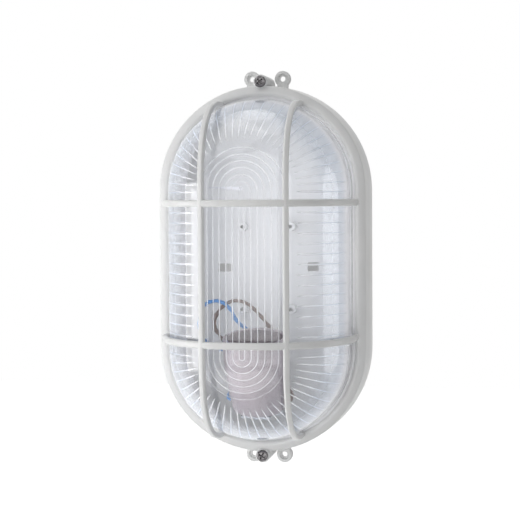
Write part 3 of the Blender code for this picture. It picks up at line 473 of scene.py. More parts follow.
@dataclass(frozen=True)
class RibbedGlassFinish(Finish):
    """Clear pressed glass whose rib crests scatter light, so that they read as thin bright lines, and
    whose steep flank has a blue grey painted into its colour: painted shade that darkens the view through it.

    The mesh attribute "mask" holds the scatter in x, which is 1 on a rib's crest, the share of the painted
    flank shade in y, and in z how far the inside is matt from the mould.
    """

    scatter: float = 0.95
    crest_span: Pair = (0.1, 0.7)
    # Painted shade: a blue grey mixed into the colour of the steep flank, which darkens the view through it.
    flank_shade_tone: str = "D2DAE6"
    matt: float = 0.2

    def extras(self, tree: Tree, shader: bpy.types.Node) -> None:
        """Adds the painted flank shade by its mask, a transmission that falls along the crests, and the matt
        inside.

        Args:
            tree: The material's tree.
            shader: The node that takes the colour, the transmission and the roughness.
        """
        held = add_node(tree, "ShaderNodeAttribute", attribute_name="mask", attribute_type="GEOMETRY")
        mask = add_node(tree, "ShaderNodeSeparateXYZ", links={"Vector": held.outputs["Vector"]}).outputs
        plain, rough = (shader.inputs[name].links[0].from_socket for name in ("Base Color", "Roughness"))
        # Mixes the painted shade's blue grey into the glass colour where the flank mask is set.
        flank_shaded = add_node(
            tree, "ShaderNodeMix", {7: srgb(self.flank_shade_tone)}, {0: mask["Y"], 6: plain}, data_type="RGBA"
        )
        tree.links.new(flank_shaded.outputs[2], shader.inputs["Base Color"])
        clear = mapped(tree, mask["X"], self.crest_span, (1.0, 1.0 - self.scatter))
        tree.links.new(clear, shader.inputs["Transmission Weight"])
        tree.links.new(maths(tree, "MULTIPLY_ADD", mask["Z"], self.matt, rough), shader.inputs["Roughness"])


@dataclass(frozen=True)
class SheathFinish(Finish):
    """A wire's extruded sheath, whose patterns follow its own UV map along and round the wire."""

    def coordinates(self, place: bpy.types.Node) -> Socket:
        """The coordinates that the patterns read: metres along and round the wire."""
        return place.outputs["UV"]


# Satin moulded polypropylene: an even neutral white with a very fine spark-eroded grain.
WHITE_MOULDING = Finish(
    Slot.WHITE, "ECECEB", "E8E9E9", 0.34, 0.04, mottle_mm=45.0, grain_mm=0.7, grain_height_mm=0.006
)
# Pressed soda-lime glass: clear, fire-polished, with the slow waviness that the mould leaves.
PRESSED_GLASS = RibbedGlassFinish(
    Slot.GLASS, "FCFCFE", "F8F9FC", 0.02, 0.015, mottle_mm=60.0, grain_mm=9.0, grain_height_mm=0.02,
    ior=1.52, extra={"Transmission Weight": 1.0},
)
# Extruded rubber: dull pale grey with a chalky surface.
GREY_RUBBER = Finish(Slot.RUBBER, "B4B6B8", "A6A8AA", 0.72, 0.08, 12.0, 0.5, 0.02)
# Zinc-plated steel: pale, slightly blue, soft gloss with the faint streaks of rolled strip.
ZINC_STEEL = Finish(
    Slot.ZINC, "C3C5C9", "B4B7BC", 0.32, 0.08, 8.0, 0.6, 0.008, metallic=1.0, stretch=(1.0, 1.0, 0.15)
)
# Blackened steel of the cover screws: dark grey with paler worn patches.
DARK_STEEL = Finish(Slot.DARK, "848283", "3E3C3E", 0.30, 0.1, 1.6, 0.5, 0.03, metallic=1.0)
# Drawn brass of the terminals: yellow with a dull film.
BRASS = Finish(Slot.BRASS, "D6B36A", "B8934C", 0.34, 0.1, 6.0, 0.5, 0.008, metallic=1.0)
# Glazed porcelain: a mauve grey, painted shade that darkens the white porcelain for the shade it sits
# in behind the glass, under a clear glossy glaze with slight pooling.
PORCELAIN = Finish(
    Slot.PORCELAIN, "A0959A", "938A8F", 0.28, 0.08, 14.0, 3.0, 0.03, ior=1.5, coat=1.0
)
# Drawn aluminium of the screw shell: bright, with soft streaks that run up the shell.
ALUMINIUM = Finish(
    Slot.ALUMINIUM, "DADBDD", "C2C4C8", 0.30, 0.08, 10.0, 0.5, 0.008, metallic=1.0, stretch=(1.0, 1.0, 0.2)
)
# Moulded polyamide of the terminal block: milky and slightly waxy.
POLYAMIDE = Finish(Slot.POLYAMIDE, "E4E3DC", "D9D8D0", 0.45, 0.06, 10.0, 0.6, 0.01, ior=1.53)
# Extruded PVC sheaths: satin blue and grey brown, with a faint mottle that follows the wire.
BLUE_PVC = SheathFinish(Slot.BLUE, "4A8FD0", "3F82C4", 0.38, 0.06, 9.0, 0.5, 0.008, ior=1.53)
BROWN_PVC = SheathFinish(Slot.BROWN, "7C675F", "6B564F", 0.38, 0.06, 9.0, 0.5, 0.008, ior=1.53)


def linked(name: str, data: bpy.types.ID) -> bpy.types.Object:
    """Makes an object of a mesh, a lamp or a camera and puts it into the scene.

    Args:
        name: Name of the object.
        data: What it shows.

    Returns:
        The object.
    """
    obj = bpy.data.objects.new(name, data)
    bpy.context.scene.collection.objects.link(obj)
    return obj


def piece(
    name: str, skins: Sequence[Skin], finish: Finish, stands_for: str, crease: float = CREASE
) -> bpy.types.Object:
    """Makes closed surfaces one piece of the light, riding on its one body.

    Args:
        name: Name of the piece.
        skins: Its surfaces, already in the row frame.
        finish: Its finish.
        stands_for: The CAD node that the piece replaces.
        crease: Angle in degrees from which an edge stays sharp.

    Returns:
        The object.
    """
    obj = linked(name, mesh_of(name, skins, crease))
    obj.data.materials.append(finish.material())
    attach(obj, "root")
    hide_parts(stands_for)
    LOG.info("%s: %d faces, stands for %s", name, len(obj.data.polygons), stands_for)
    return obj


def carve(obj: bpy.types.Object, cutters: Sequence[Skin]) -> None:
    """Takes closed cutters out of a piece by an exact Boolean, and keeps the result as its mesh.

    Args:
        obj: The piece.
        cutters: Closed surfaces, all taken out at once.
    """
    tool = linked("cutter", mesh_of("cutter", cutters))
    modifier = obj.modifiers.new("cut", "BOOLEAN")
    modifier.operation = "DIFFERENCE"
    modifier.solver = "EXACT"
    modifier.use_self = True
    modifier.object = tool
    bpy.context.view_layer.update()
    graph = bpy.context.evaluated_depsgraph_get()
    mesh = bpy.data.meshes.new_from_object(obj.evaluated_get(graph))
    obj.modifiers.clear()
    obj.data = mesh
    mesh.name = obj.name
    mesh.polygons.foreach_set("use_smooth", np.ones(len(mesh.polygons), bool))
    mesh.set_sharp_from_angle(angle=math.radians(CREASE))
    bpy.data.objects.remove(tool, do_unlink=True)


# Shapes that several sub-assemblies use


@dataclass
class Oval:
    """The light's outline: two half circles joined by straight sides, long axis on Z.

    A place round the oval is a foot on the spine, the segment between the arcs' centres, and an
    outward direction. A point at radius r is the foot plus r times the direction.
    """

    half_straight: float = 55.0
    arc_steps: int = 72
    straight_steps: int = 12

    def directions(self) -> Array:
        """Rows of (foot z, outward x, outward z) round the oval, counter-clockwise from the lower right."""
        shares = [np.arange(steps) / steps for steps in (self.straight_steps, self.arc_steps)]
        return np.concatenate([self.part(shares[number % 2], number) for number in range(4)])

    def part(self, share: Array, number: int) -> Array:
        """Rows of (foot z, outward x, outward z) on one of the oval's four parts.

        Args:
            share: Shares of that part, from its start.
            number: 0 right side going up, 1 top arc, 2 left side going down, 3 bottom arc.

        Returns:
            One row for each place.
        """
        sign = 1.0 if number < 2 else -1.0
        if number % 2:
            turn = np.pi * share
            rows = stacked(self.half_straight, np.cos(turn), np.sin(turn))
        else:
            rows = stacked(self.half_straight * (2 * share - 1), 1.0, 0.0)
        return rows * sign

    def sweep(self, section: Array, places: Array | None = None) -> Array:
        """Carries a section of (radius, depth) points round the oval.

        Args:
            section: Points of the section.
            places: Rows of directions, or None for the usual ones.

        Returns:
            Grid of (x, depth, z), places first.
        """
        rows = self.directions() if places is None else places
        radius, depth = section[None, :, 0], section[None, :, 1]
        foot, out_x, out_z = (rows[:, k, None] for k in range(3))
        return stacked(radius * out_x, depth, foot + radius * out_z)


def turned(profile: Array, steps: int = 64) -> Array:
    """Turns a profile of (radius, height) about its own axis.

    Args:
        profile: Points of the profile. A radius of 0 makes a pole.
        steps: Spans round the axis.

    Returns:
        Grid of (across, along the second cross axis, height).
    """
    angle = 2 * np.pi * np.arange(steps)[:, None] / steps
    radius, height = profile[:, 0], profile[:, 1]
    return stacked(radius * np.cos(angle), radius * np.sin(angle), height)


def facing_front(grid: Array, x: float, depth: float, z: float) -> Array:
    """Stands a turned grid on the point (x, depth, z) with its height towards the viewer.

    Args:
        grid: Grid of (across, cross, height).
        x: Place to the right.
        depth: Depth of the grid's zero height.
        z: Place up.

    Returns:
        Grid of (x, depth, z).
    """
    return stacked(x + grid[..., 0], depth + grid[..., 2], z + grid[..., 1])


def stud(profile: Array, x: float, z: float, steps: int = 64, hollow: bool = False) -> Skin:
    """Turns a profile of (radius, depth) about the line that runs forward from (x, z) on the wall.

    Args:
        profile: Points of the profile.
        x: Place to the right.
        z: Place up.
        steps: Spans round the axis.
        hollow: Whether the profile closes on itself, round a hole, and not on the axis.

    Returns:
        The surface.
    """
    return Skin.from_grid(facing_front(turned(profile, steps), x, 0.0, z), (True, hollow))


def block(x: Pair, depth: Pair, z: Pair, round_mm: float = 0.3) -> Array:
    """A box with rounded long edges: a rounded rectangle in x and z, carried from back to front.

    Its rows go from the middle of the back face out to the rim, forward with a small rounding, and
    in to the middle of the front face.

    Args:
        x: Lowest and highest x.
        depth: Back and front depth.
        z: Lowest and highest z.
        round_mm: Radius of the four long edges and of the front rim.

    Returns:
        Grid of (x, depth, z).
    """
    middle = np.array([(x[0] + x[1]) / 2, (z[0] + z[1]) / 2])
    outline = rounded([(a, b, round_mm) for a, b in ((x[0], z[0]), (x[1], z[0]), (x[1], z[1]), (x[0], z[1]))])
    size = outline - middle
    inset = round_mm / max(x[1] - x[0], z[1] - z[0]) * 2
    shares = np.array([0.0, 1.0, 1.0, 1.0 - inset * 0.3, 1.0 - inset, 0.0])
    back, front = depth
    levels = np.array([back, back, front - round_mm, front - 0.3 * round_mm, front, front])
    flat = middle + size[:, None] * shares[None, :, None]
    return stacked(flat[..., 0], levels, flat[..., 1])


def smooth_path(points: Array, spans: int) -> Array:
    """A Catmull-Rom curve through the points, each span cut into equal steps.

    Args:
        points: Points that the curve passes.
        spans: Steps in each span.

    Returns:
        Points of the curve.
    """
    ends = np.concatenate([[2 * points[0] - points[1]], points, [2 * points[-1] - points[-2]]])
    a, b, c, d = (ends[k : len(ends) - 3 + k, None] for k in range(4))
    t = (np.arange(spans) / spans)[None, :, None]
    curve = 0.5 * (
        2 * b + (c - a) * t + (2 * a - 5 * b + 4 * c - d) * t**2 + (3 * b - a - 3 * c + d) * t**3
    )
    return np.concatenate([curve.reshape(-1, 3), points[-1:]])


def tube(path: Array, section: Array, side: Array) -> Array:
    """Carries a closed section along a path.

    At each point the section's first axis is the given side made square to the path's tangent, and
    its second axis is the cross product of tangent and side. The section shrinks to a point at both
    ends, which closes them flat.

    Args:
        path: Points of (x, depth, z).
        section: Points of (to the side, ahead).
        side: One direction for each path point, or one for all.

    Returns:
        Grid of (x, depth, z), path points first.
    """
    tangent = unit(np.gradient(path, axis=0))
    side = np.broadcast_to(side, path.shape)
    side = unit(side - tangent * (side * tangent).sum(1, keepdims=True))
    ahead = np.cross(tangent, side)
    rings = path[:, None] + section[None, :, :1] * side[:, None] + section[None, :, 1:] * ahead[:, None]
    ends = np.broadcast_to(path[[0, -1], None], (2, *rings.shape[1:]))
    return np.concatenate([ends[:1], rings, ends[1:]])


def parallel_side(path: Array, start: Array) -> Array:
    """A side direction for each path point that turns as little as it can from one to the next.

    Each is the one before, less its part along the tangent. A wire's ring of points follows it.

    Args:
        path: Points of the path.
        start: The first direction.

    Returns:
        One unit direction for each point.
    """
    sides = [np.asarray(start, float)]
    for along in unit(np.gradient(path, axis=0)):
        sides.append(unit(sides[-1] - along * float(sides[-1] @ along)))
    return np.array(sides[1:])


# Sub-assemblies


@dataclass
class Housing:
    """The tray on the wall: back plate, flared side wall, seat and lip, ears, bosses, posts and pads."""

    oval: Oval
    side_radius: float = 73.8
    back_radius: float = 74.6
    side_depth: float = 20.0
    plate: float = 3.0
    tray_inner: float = 70.8
    lip: Triple = (70.5, 69.3, 28.3)
    seat: Pair = (63.6, 23.5)
    ledge: Pair = (2.5, 5.5)
    boss_z: float = 130.8
    boss: Triple = (5.2, 3.35, 6.0)
    ear_at: Pair = (11.1, 134.8)
    ear: tuple[float, float, float, float, float] = (5.64, 4.6, 1.95, 3.3, 1.2)
    ear_web: float = 3.8
    ear_root: float = 122.0
    slot_x: Pair = (-31.0, 31.0)
    slot_half: Pair = (4.5, 3.0)
    posts: tuple[Pair, ...] = ((17.0, 29.5), (-17.0, 29.5), (17.0, -29.5), (-17.0, -29.5))
    post: Triple = (3.3, 9.0, 1.3)
    pad_depth: float = 6.0
    block_pad: tuple[Pair, Pair] = ((-14.5, 14.5), (-68.0, -48.0))
    bracket_pad: tuple[Pair, Pair] = ((-11.5, 11.5), (-107.0, -89.9))
    root: float = 1.0
    entry_z: float = -78.0
    entry: Triple = (10.5, 9.5, 6.9)
    entry_step: float = 3.0

    def build(self) -> bpy.types.Object:
        """Builds the tray as one piece.

        Returns:
            The piece that stands for the housing node.
        """
        skins = [self.tray()]
        skins += [self.ear_shape(x, z) for x in (1, -1) for z in (1, -1)]
        skins += [self.boss_shape(z) for z in (self.boss_z, -self.boss_z)]
        skins += [self.post_shape(x, z) for x, z in self.posts]
        obj = piece("tray_moulding", skins + self.pads(), WHITE_MOULDING, "base_housing")
        carve(obj, self.holes())
        return obj

    def tray(self) -> Skin:
        """The tray's half section, from the middle of its back round the wall to the middle of its floor,
        carried round the oval.

        Returns:
            The tray without its ears, bosses, posts and pads.
        """
        lip_out, lip_in, lip_top = self.lip
        seat_in, seat_top = self.seat
        thick, slope = self.ledge
        under = seat_top - thick
        section = [(0.0, 0.0, 0.0), (self.back_radius, 0.0, 0.9), (self.side_radius, self.side_depth, 0.4)]
        section += [(lip_out, self.side_depth, 0.0), (lip_out, lip_top, 0.3), (lip_in, lip_top, 0.3)]
        section += [(lip_in, seat_top, 0.0), (seat_in, seat_top, 0.5), (seat_in, under, 0.5)]
        section += [(self.tray_inner, under - slope, 1.5), (self.tray_inner, self.plate, 2.0)]
        section += [(0.0, self.plate, 0.0)]
        return Skin.from_grid(self.oval.sweep(rounded(section, closed=False)))

    def ear_shape(self, side: int, end: int) -> Skin:
        """A fixing ear: the outline is the further of a circle about the hole and a web that runs in
        to the wall, and rows go from the hole's back edge out, forward, in and down the recess.

        Args:
            side: 1 for right, -1 for left.
            end: 1 for top, -1 for bottom.

        Returns:
            The ear.
        """
        radius, thick, hole, recess, recess_deep = self.ear
        angle = 2 * np.pi * np.arange(96) / 96
        across, inward = np.sin(angle), -np.cos(angle)
        inner = self.ear_at[1] - self.ear_root
        web = np.minimum(inner / np.maximum(inward, 1e-6), self.ear_web / np.maximum(np.abs(across), 1e-6))
        outline = np.where(inward > 0, np.maximum(radius, web), radius)
        reach = stacked(
            hole, outline, outline, outline - 0.18, outline - 0.6, recess + 0.3, recess, recess, hole
        )
        floor = thick - recess_deep
        level = np.array([0.0, 0.0, thick - 0.6, thick - 0.18, thick, thick, thick - 0.3, floor, floor])
        x = side * self.ear_at[0] + reach * across[:, None]
        z = end * (self.ear_at[1] - reach * inward[:, None])
        return Skin.from_grid(stacked(x, level, z), (True, True))

    def boss_shape(self, z: float) -> Skin:
        """The blind boss for a cover screw's insert, turned about the screw's axis."""
        radius, bore, floor = self.boss
        profile = [(0.0, 0.0, 0.0), (radius, 0.0, 0.3), (radius, self.side_depth, 0.5)]
        profile += [(bore, self.side_depth, 0.2), (bore, floor, 0.0), (0.0, floor, 0.0)]
        return stud(rounded(profile, closed=False), 0.0, z)

    def post_shape(self, x: float, z: float) -> Skin:
        """A blind post on the back plate, turned about its bore."""
        radius, top, bore = self.post
        profile = [(0.0, self.root, 0.0), (radius + 0.1, self.root, 0.0), (radius, top, 0.4)]
        profile += [(bore, top, 0.2), (bore, self.root + 0.4, 0.0), (0.0, self.root + 0.4, 0.0)]
        return stud(rounded(profile, closed=False), x, z, 40)

    def pads(self) -> list[Skin]:
        """Raised pads under the terminal block and the bracket's foot, and the collar of the cable entry."""
        low, top, radius = self.root, self.pad_depth, self.entry[0]
        collar = [(0.0, low, 0.0), (radius + 0.1, low, 0.0), (radius, top, 0.5), (0.0, top, 0.0)]
        pads = [Skin.from_grid(block(x, (low, top), z, 1.0)) for x, z in (self.block_pad, self.bracket_pad)]
        return pads + [stud(rounded(collar, closed=False), 0.0, self.entry_z)]

    def holes(self) -> list[Skin]:
        """Cutters of the two wall box slots and of the cable entry, which is wider at the back.

        Returns:
            The three cutters.
        """
        half_x, half_z = self.slot_half
        slots = [
            Skin.from_grid(block((x - half_x, x + half_x), (-2.0, 4.5), (-half_z, half_z), 0.8))
            for x in self.slot_x
        ]
        _, wide, narrow = self.entry
        profile = [(0.0, -2.0, 0.0), (wide, -2.0, 0.0), (wide, self.entry_step, 0.0)]
        profile += [(narrow, self.entry_step, 0.0), (narrow, 8.0, 0.0), (0.0, 8.0, 0.0)]
        return slots + [stud(rounded(profile, closed=False), 0.0, self.entry_z, 48)]


@dataclass
class Guard:
    """The guard: a ring with a sloping band and a skirt, four bars and two screw lugs."""

    oval: Oval
    ring_radius: float = 73.0
    skirt_radius: float = 73.8
    skirt_inner: float = 71.2
    band_inner: float = 65.8
    depth_skirt: float = 20.3
    depth_ring: float = 31.0
    depth_band: float = 34.2
    depth_under: float = 30.6
    cage: float = 72.6
    foot_rise: float = 0.9
    foot_radius: float = 66.5
    upright_x: float = 28.1
    upright_power: float = 2.5
    cross_z: float = 46.6
    cross_power: float = 2.2
    upright_size: Triple = (3.9, 3.8, 1.0)
    cross_size: Triple = (4.7, 3.7, 1.5)
    lug: Triple = (5.0, 2.25, 32.3)
    lug_z: float = 130.8

    def build(self) -> bpy.types.Object:
        """Builds the guard as one piece.

        Returns:
            The piece that stands for the guard node.
        """
        skins = [self.ring()]
        skins += [self.upright(x) for x in (self.upright_x, -self.upright_x)]
        skins += [self.cross(z) for z in (self.cross_z, -self.cross_z)]
        skins += [self.lug_shape(z) for z in (self.lug_z, -self.lug_z)]
        return piece("guard_moulding", skins, WHITE_MOULDING, "guard_frame")

    def ring(self) -> Skin:
        """The ring's closed section of band and skirt, carried round the oval.

        Returns:
            The ring without its bars and lugs.
        """
        wall = self.ring_radius - self.skirt_inner
        section = [(self.skirt_radius, self.depth_skirt, 0.3), (self.ring_radius, self.depth_ring, 1.1)]
        section += [(self.band_inner, self.depth_band, 2.3), (self.band_inner, self.depth_under, 0.4)]
        section += [(self.skirt_inner, self.depth_under, 0.8)]
        section += [(self.skirt_radius - wall, self.depth_skirt, 0.3)]
        return Skin.from_grid(self.oval.sweep(rounded(section, steps=6)), (True, True))

    def rise(self, x: Array) -> Array:
        """How far the cage stands ahead of its feet at x: a flattened dome, (1 - |x/a|^p)^(1/p)."""
        share = np.clip(np.abs(x) / self.foot_radius, 0.0, 1.0)
        return (self.cage - self.foot_rise) * (1 - share**self.cross_power) ** (1 / self.cross_power)

    def bar_section(self, size: Triple) -> Array:
        """A rounded rectangle of (to the side, ahead)."""
        wide, deep, radius = size
        signs = ((1, -1), (1, 1), (-1, 1), (-1, -1))
        return rounded([(a * wide / 2, b * deep / 2, radius) for a, b in signs])

    def cross(self, z: float) -> Skin:
        """A cross bar: its axis is the cage's dome at this height, from foot to foot.

        Args:
            z: The bar's height.

        Returns:
            The bar.
        """
        reach = math.sqrt(self.foot_radius**2 - max(0.0, abs(z) - self.oval.half_straight) ** 2)
        angle = np.linspace(0.0, np.pi, 97)
        share = np.sign(np.cos(angle)) * np.abs(np.cos(angle)) ** (2 / self.cross_power)
        depth = self.depth_ring + self.foot_rise + self.rise(share * self.foot_radius)
        path = stacked(-share * reach, depth, z)
        grid = tube(path, self.bar_section(self.cross_size), np.array([0.0, 0.0, 1.0]))
        return Skin.from_grid(grid, (False, True))

    def upright(self, x: float) -> Skin:
        """An upright bar: flat between the arcs' centres, then a boxy quarter round to each foot.

        The quarter is |out|^p + |ahead|^p = 1, and the section leans out with the dome's slope at x.

        Args:
            x: The bar's place to the right.

        Returns:
            The bar.
        """
        half = self.oval.half_straight
        reach = half + math.sqrt(self.foot_radius**2 - x**2)
        top = float(self.rise(np.array(x)))
        angle = np.linspace(0.0, np.pi / 2, 33)
        out = np.cos(angle) ** (2 / self.upright_power)
        ahead = top * np.maximum(0.0, 1 - out**self.upright_power) ** (1 / self.upright_power)
        upper = stacked(x, self.depth_ring + self.foot_rise + ahead, half + out * (reach - half))
        lower = upper[::-1] * np.array([1.0, 1.0, -1.0])
        straight = np.linspace(upper[-1], lower[0], 12)[1:-1]
        path = np.concatenate([upper, straight, lower])
        step = 0.5
        slope = float(self.rise(np.array(abs(x) - step)) - self.rise(np.array(abs(x) + step))) / (2 * step)
        lean = math.atan(slope) * math.copysign(1.0, x)
        side = np.array([math.cos(lean), -math.sin(lean), 0.0])
        return Skin.from_grid(tube(path, self.bar_section(self.upright_size), side), (False, True))

    def lug_shape(self, z: float) -> Skin:
        """A screw lug: a short round boss with a clearance hole, turned about the screw's axis."""
        radius, hole, top = self.lug
        back = self.depth_skirt
        section = [(hole, back, 0.1), (radius, back, 0.3), (radius, top, 0.7), (hole, top, 0.2)]
        return stud(rounded(section), 0.0, z, hollow=True)


@dataclass
class GlassBowl:
    """The pressed glass bowl: a plain outside, and ribs inside that cross the flank and ring the front."""

    oval: Oval
    outer_radius: float = 64.2
    flange_radius: float = 68.8
    depth_flange: float = 30.3
    depth_back: float = 26.3
    apex: float = 97.0
    wall: float = 3.5
    power: float = 2.2
    ring_ribs: tuple[float, ...] = (1.8, 6.1, 10.4, 14.9, 19.3, 23.5, 27.9)
    ring_strength: tuple[float, ...] = (1.0, 1.0, 0.95, 0.85, 0.75, 0.65, 0.4)
    rib_height: float = 0.05
    rib_half: float = 0.48
    flank_half: float = 0.8
    rim_depth: Pair = (50.0, 84.0)
    rim_haze: float = 0.48
    matt_depth: Pair = (60.0, 86.0)
    # Depths over which the painted flank shade rises, is full, fades and is gone.
    flank_shade_depth: tuple[float, float, float, float] = (44.0, 56.0, 66.0, 82.0)
    edge_depth: float = 38.0
    core_shift: float = -2.0
    core_fade: Pair = (26.0, 50.0)
    plain_radii: Pair = (27.0, 53.0)
    ring_cuts: tuple[float, ...] = (-1.5, -1.0, -0.7, -0.35, 0.0, 0.35, 0.7, 1.0, 1.5)
    flank_cuts: tuple[float, ...] = (-0.5, -0.12, -0.07, -0.035, 0.0, 0.035, 0.07, 0.12)
    flank_pitch: float = 6.8
    rib_rise: float = 0.35
    ribs_straight: int = 16
    ribs_top: int = 27
    ribs_bottom: int = 28
    flank_from: float = 35.5
    flank_to: float = 58.5

    def build(self) -> bpy.types.Object:
        """Builds the bowl as one piece that casts no shadow, so that light reaches the tray.

        Returns:
            The piece that stands for the bowl node.
        """
        section, ribbed, normals = self.section()
        places, phase = self.places()
        points = self.oval.sweep(section, places)
        points, share = self.press_ribs(points, section, ribbed, normals, phase, places)
        obj = piece("pressed_bowl", [Skin.from_grid(points, mask=share)], PRESSED_GLASS, "glass_bowl", 60.0)
        obj.visible_shadow = False
        return obj

    def outer_dome(self, angle: Array) -> tuple[Array, Array]:
        """Points and outward normals of the outside, at angles from its foot (0) to its middle.

        The curve is radius R cos^(2/p) and depth base + H sin^(2/p), which is |r/R|^p + |d/H|^p = 1.

        Args:
            angle: Angles from 0 to a quarter turn.

        Returns:
            Rows of (radius, depth), and of the unit normal in the same plane.
        """
        rise = self.apex - self.depth_flange
        across = np.abs(np.cos(angle)) ** (2 / self.power)
        ahead = np.abs(np.sin(angle)) ** (2 / self.power)
        points = stacked(self.outer_radius * across, self.depth_flange + rise * ahead)
        normal = stacked(across ** (self.power - 1) / self.outer_radius, ahead ** (self.power - 1) / rise)
        return points, unit(normal)

    def section(self) -> tuple[Array, Array, Array]:
        """The half section from the middle of the inside, out to the flange and back to the middle.

        The inside keeps one wall's thickness from the outside along the outside's normal, down to
        its foot, and from there runs straight to the flange's back.

        Returns:
            Points of (radius, depth), which of them the ribs may move, and the normals there.
        """
        inner = self.outer_radius - self.wall
        rings = (np.array(self.ring_ribs)[:, None] + np.array(self.ring_cuts) * self.rib_half).ravel()
        radii = np.unique(np.concatenate([[0.0], rings, np.linspace(*self.plain_radii, 10)]))
        angle = np.linspace(0.0, np.pi / 2, 3000)
        outer, normal = self.outer_dome(angle)
        wanted = np.interp(radii, (outer - self.wall * normal)[::-1, 0], angle[::-1])
        wanted = np.concatenate([wanted, np.linspace(wanted[-1], 0.0, 11)[1:]])
        outer, normal = self.outer_dome(wanted)
        inside = outer - self.wall * normal
        inside[0, 0] = 0.0
        back, front, rim = self.depth_back, self.depth_flange, self.flange_radius
        flange = [(inner, back, 0.0), (rim, back, 0.6), (rim, front, 0.6)]
        flange += [(self.outer_radius + 0.5, front, 0.0)]
        outside, _ = self.outer_dome(np.linspace(0.0, np.pi / 2, 30))
        outside[-1, 0] = 0.0
        section = np.concatenate([inside, rounded(flange, steps=3, closed=False), outside])
        ribbed = np.arange(len(section)) < len(inside)
        normals = np.zeros_like(section)
        normals[: len(inside)] = normal
        return section, ribbed, normals

    def places(self) -> tuple[Array, Array]:
        """Places round the oval, eight to each flank rib, and how far each lies from its rib.

        The ribs stand a little higher than evenly on both straight sides, so the gaps to the top arc's
        ribs are shared there and the bottom arc starts with a shorter one.

        Returns:
            Rows of directions, and for each the distance in millimetres from the rib's middle.
        """
        offsets = np.array(self.flank_cuts)
        low, high = 0.5 + self.rib_rise, 0.5 - self.rib_rise
        sides = []
        for count, first, last, is_arc in (
            (self.ribs_straight, low, high, False), (self.ribs_top, low, low, True),
            (self.ribs_straight, high, low, False), (self.ribs_bottom, high, high, True),
        ):
            pitch = 1 / (count - 1 + first + last)
            share = (((np.arange(count) + first)[:, None] + offsets) * pitch).ravel()
            sides.append(self.oval.part(share, len(sides)))
        places = np.concatenate(sides)
        near = np.tile(offsets, len(places) // len(offsets)) * self.flank_pitch
        return places, near

    def press_ribs(
        self, points: Array, section: Array, ribbed: Array, normals: Array, near: Array, places: Array
    ) -> tuple[Array, Array]:
        """Raises the ribs from the inside, along the surface's own normal.

        A rib is a raised cosine, height times (1 + cos(pi d / half)) / 2 within half of its middle. The
        ring ribs depend on the radius alone. The flank ribs depend on the distance round the oval, and
        fade in and out with the radius by smooth steps. The ribbed core sits a little off centre.

        Args:
            points: Grid of (x, depth, z).
            section: The section that was swept.
            ribbed: Which columns are inside.
            normals: The inside's outward normals, as rows of (radius, depth).
            near: Distance of each row from its flank rib.
            places: Rows of directions.

        Returns:
            The grid with its ribs, and for each point its share of a rib's height or the rim's haze,
            its share of the painted flank shade, and how matt it is.
        """
        radius = section[:, 0]
        strength = np.array(self.ring_strength)
        ring = (self.ridge(radius[:, None] - np.array(self.ring_ribs), self.rib_half) * strength).sum(1)
        flank = self.ridge(near, self.flank_half)[:, None]
        window = smoothstep(self.flank_from - 1.0, self.flank_from + 1.5, radius)
        window = window * (1 - smoothstep(self.flank_to - 1.0, self.flank_to + 1.0, radius))
        crest = (ring[None, :] + flank * window[None, :]) * ribbed[None, :]
        height = self.rib_height * crest
        rim = self.rim_haze * (1 - smoothstep(*self.rim_depth, section[:, 1]))
        edge = 1 - smoothstep(self.edge_depth - 1.5, self.edge_depth + 1.5, section[:, 1])
        crest = np.maximum(crest, np.maximum(rim * ribbed, edge))
        low, full, fade, clear = self.flank_shade_depth
        # Painted shade: the share of blue grey painted on the steep flank between these depths.
        flank_shade = smoothstep(low, full, section[:, 1]) * (1 - smoothstep(fade, clear, section[:, 1]))
        matt = 1 - smoothstep(*self.matt_depth, section[:, 1])
        inward_r, inward_d = -normals.T
        across = height * inward_r
        move = stacked(across * places[:, 1:2], height * inward_d, across * places[:, 2:3])
        move[..., 0] += self.core_shift * (1 - smoothstep(*self.core_fade, radius)) * ribbed
        return points + move, stacked(crest, flank_shade * ribbed, matt * ribbed)

    def ridge(self, distance: Array, half: float) -> Array:
        """A rib's share of its height at a distance in millimetres from its middle, half its width."""
        return 0.5 + 0.5 * np.cos(np.pi * np.clip(distance / half, -1.0, 1.0))


@dataclass
class PanScrew:
    """A pan head machine screw with a cross recess, its shank along its own axis."""

    head_radius: float
    head_height: float
    shank_radius: float
    shank_length: float
    steps: int = 96
    crown_fall: float = 0.42
    arm_share: float = 0.62
    arm_half_share: float = 0.13
    arm_edge_share: float = 0.09
    recess_share: float = 0.62

    def surface(self) -> Array:
        """The turned screw, from the middle of its head out, under it, and down to its point.

        The head's crown is a flattened dome. The recess is where both arms of a cross come within
        their half width, and its depth follows a smooth step from the arm's edge inwards.

        Returns:
            Grid of (across, cross, height), the seat at height 0.
        """
        radius, top = self.head_radius, self.head_height
        crown = np.linspace(0.0, 1.0, 40) ** 0.8
        head = np.stack([crown * radius * 0.985, top * (1 - self.crown_fall * crown**3.0)], 1)
        shank, tip = self.shank_radius, -self.shank_length
        rest = [(radius, top * 0.5, 0.2), (radius, 0.0, 0.1), (shank, 0.0, 0.1)]
        rest += [(shank, tip + 1.2, 0.2), (shank * 0.4, tip, 0.0), (0.0, tip, 0.0)]
        grid = turned(np.concatenate([head, rounded(rest, steps=3, closed=False)]), self.steps)
        x, y = np.abs(grid[..., 0]), np.abs(grid[..., 1])
        arm, half = radius * self.arm_share, radius * self.arm_half_share
        inside = np.minimum(np.maximum(x - arm, y - half), np.maximum(x - half, y - arm))
        deep = smoothstep(0.0, radius * self.arm_edge_share, -inside) * top * self.recess_share
        grid[:, : len(head), 2] -= deep[:, : len(head)]
        return grid


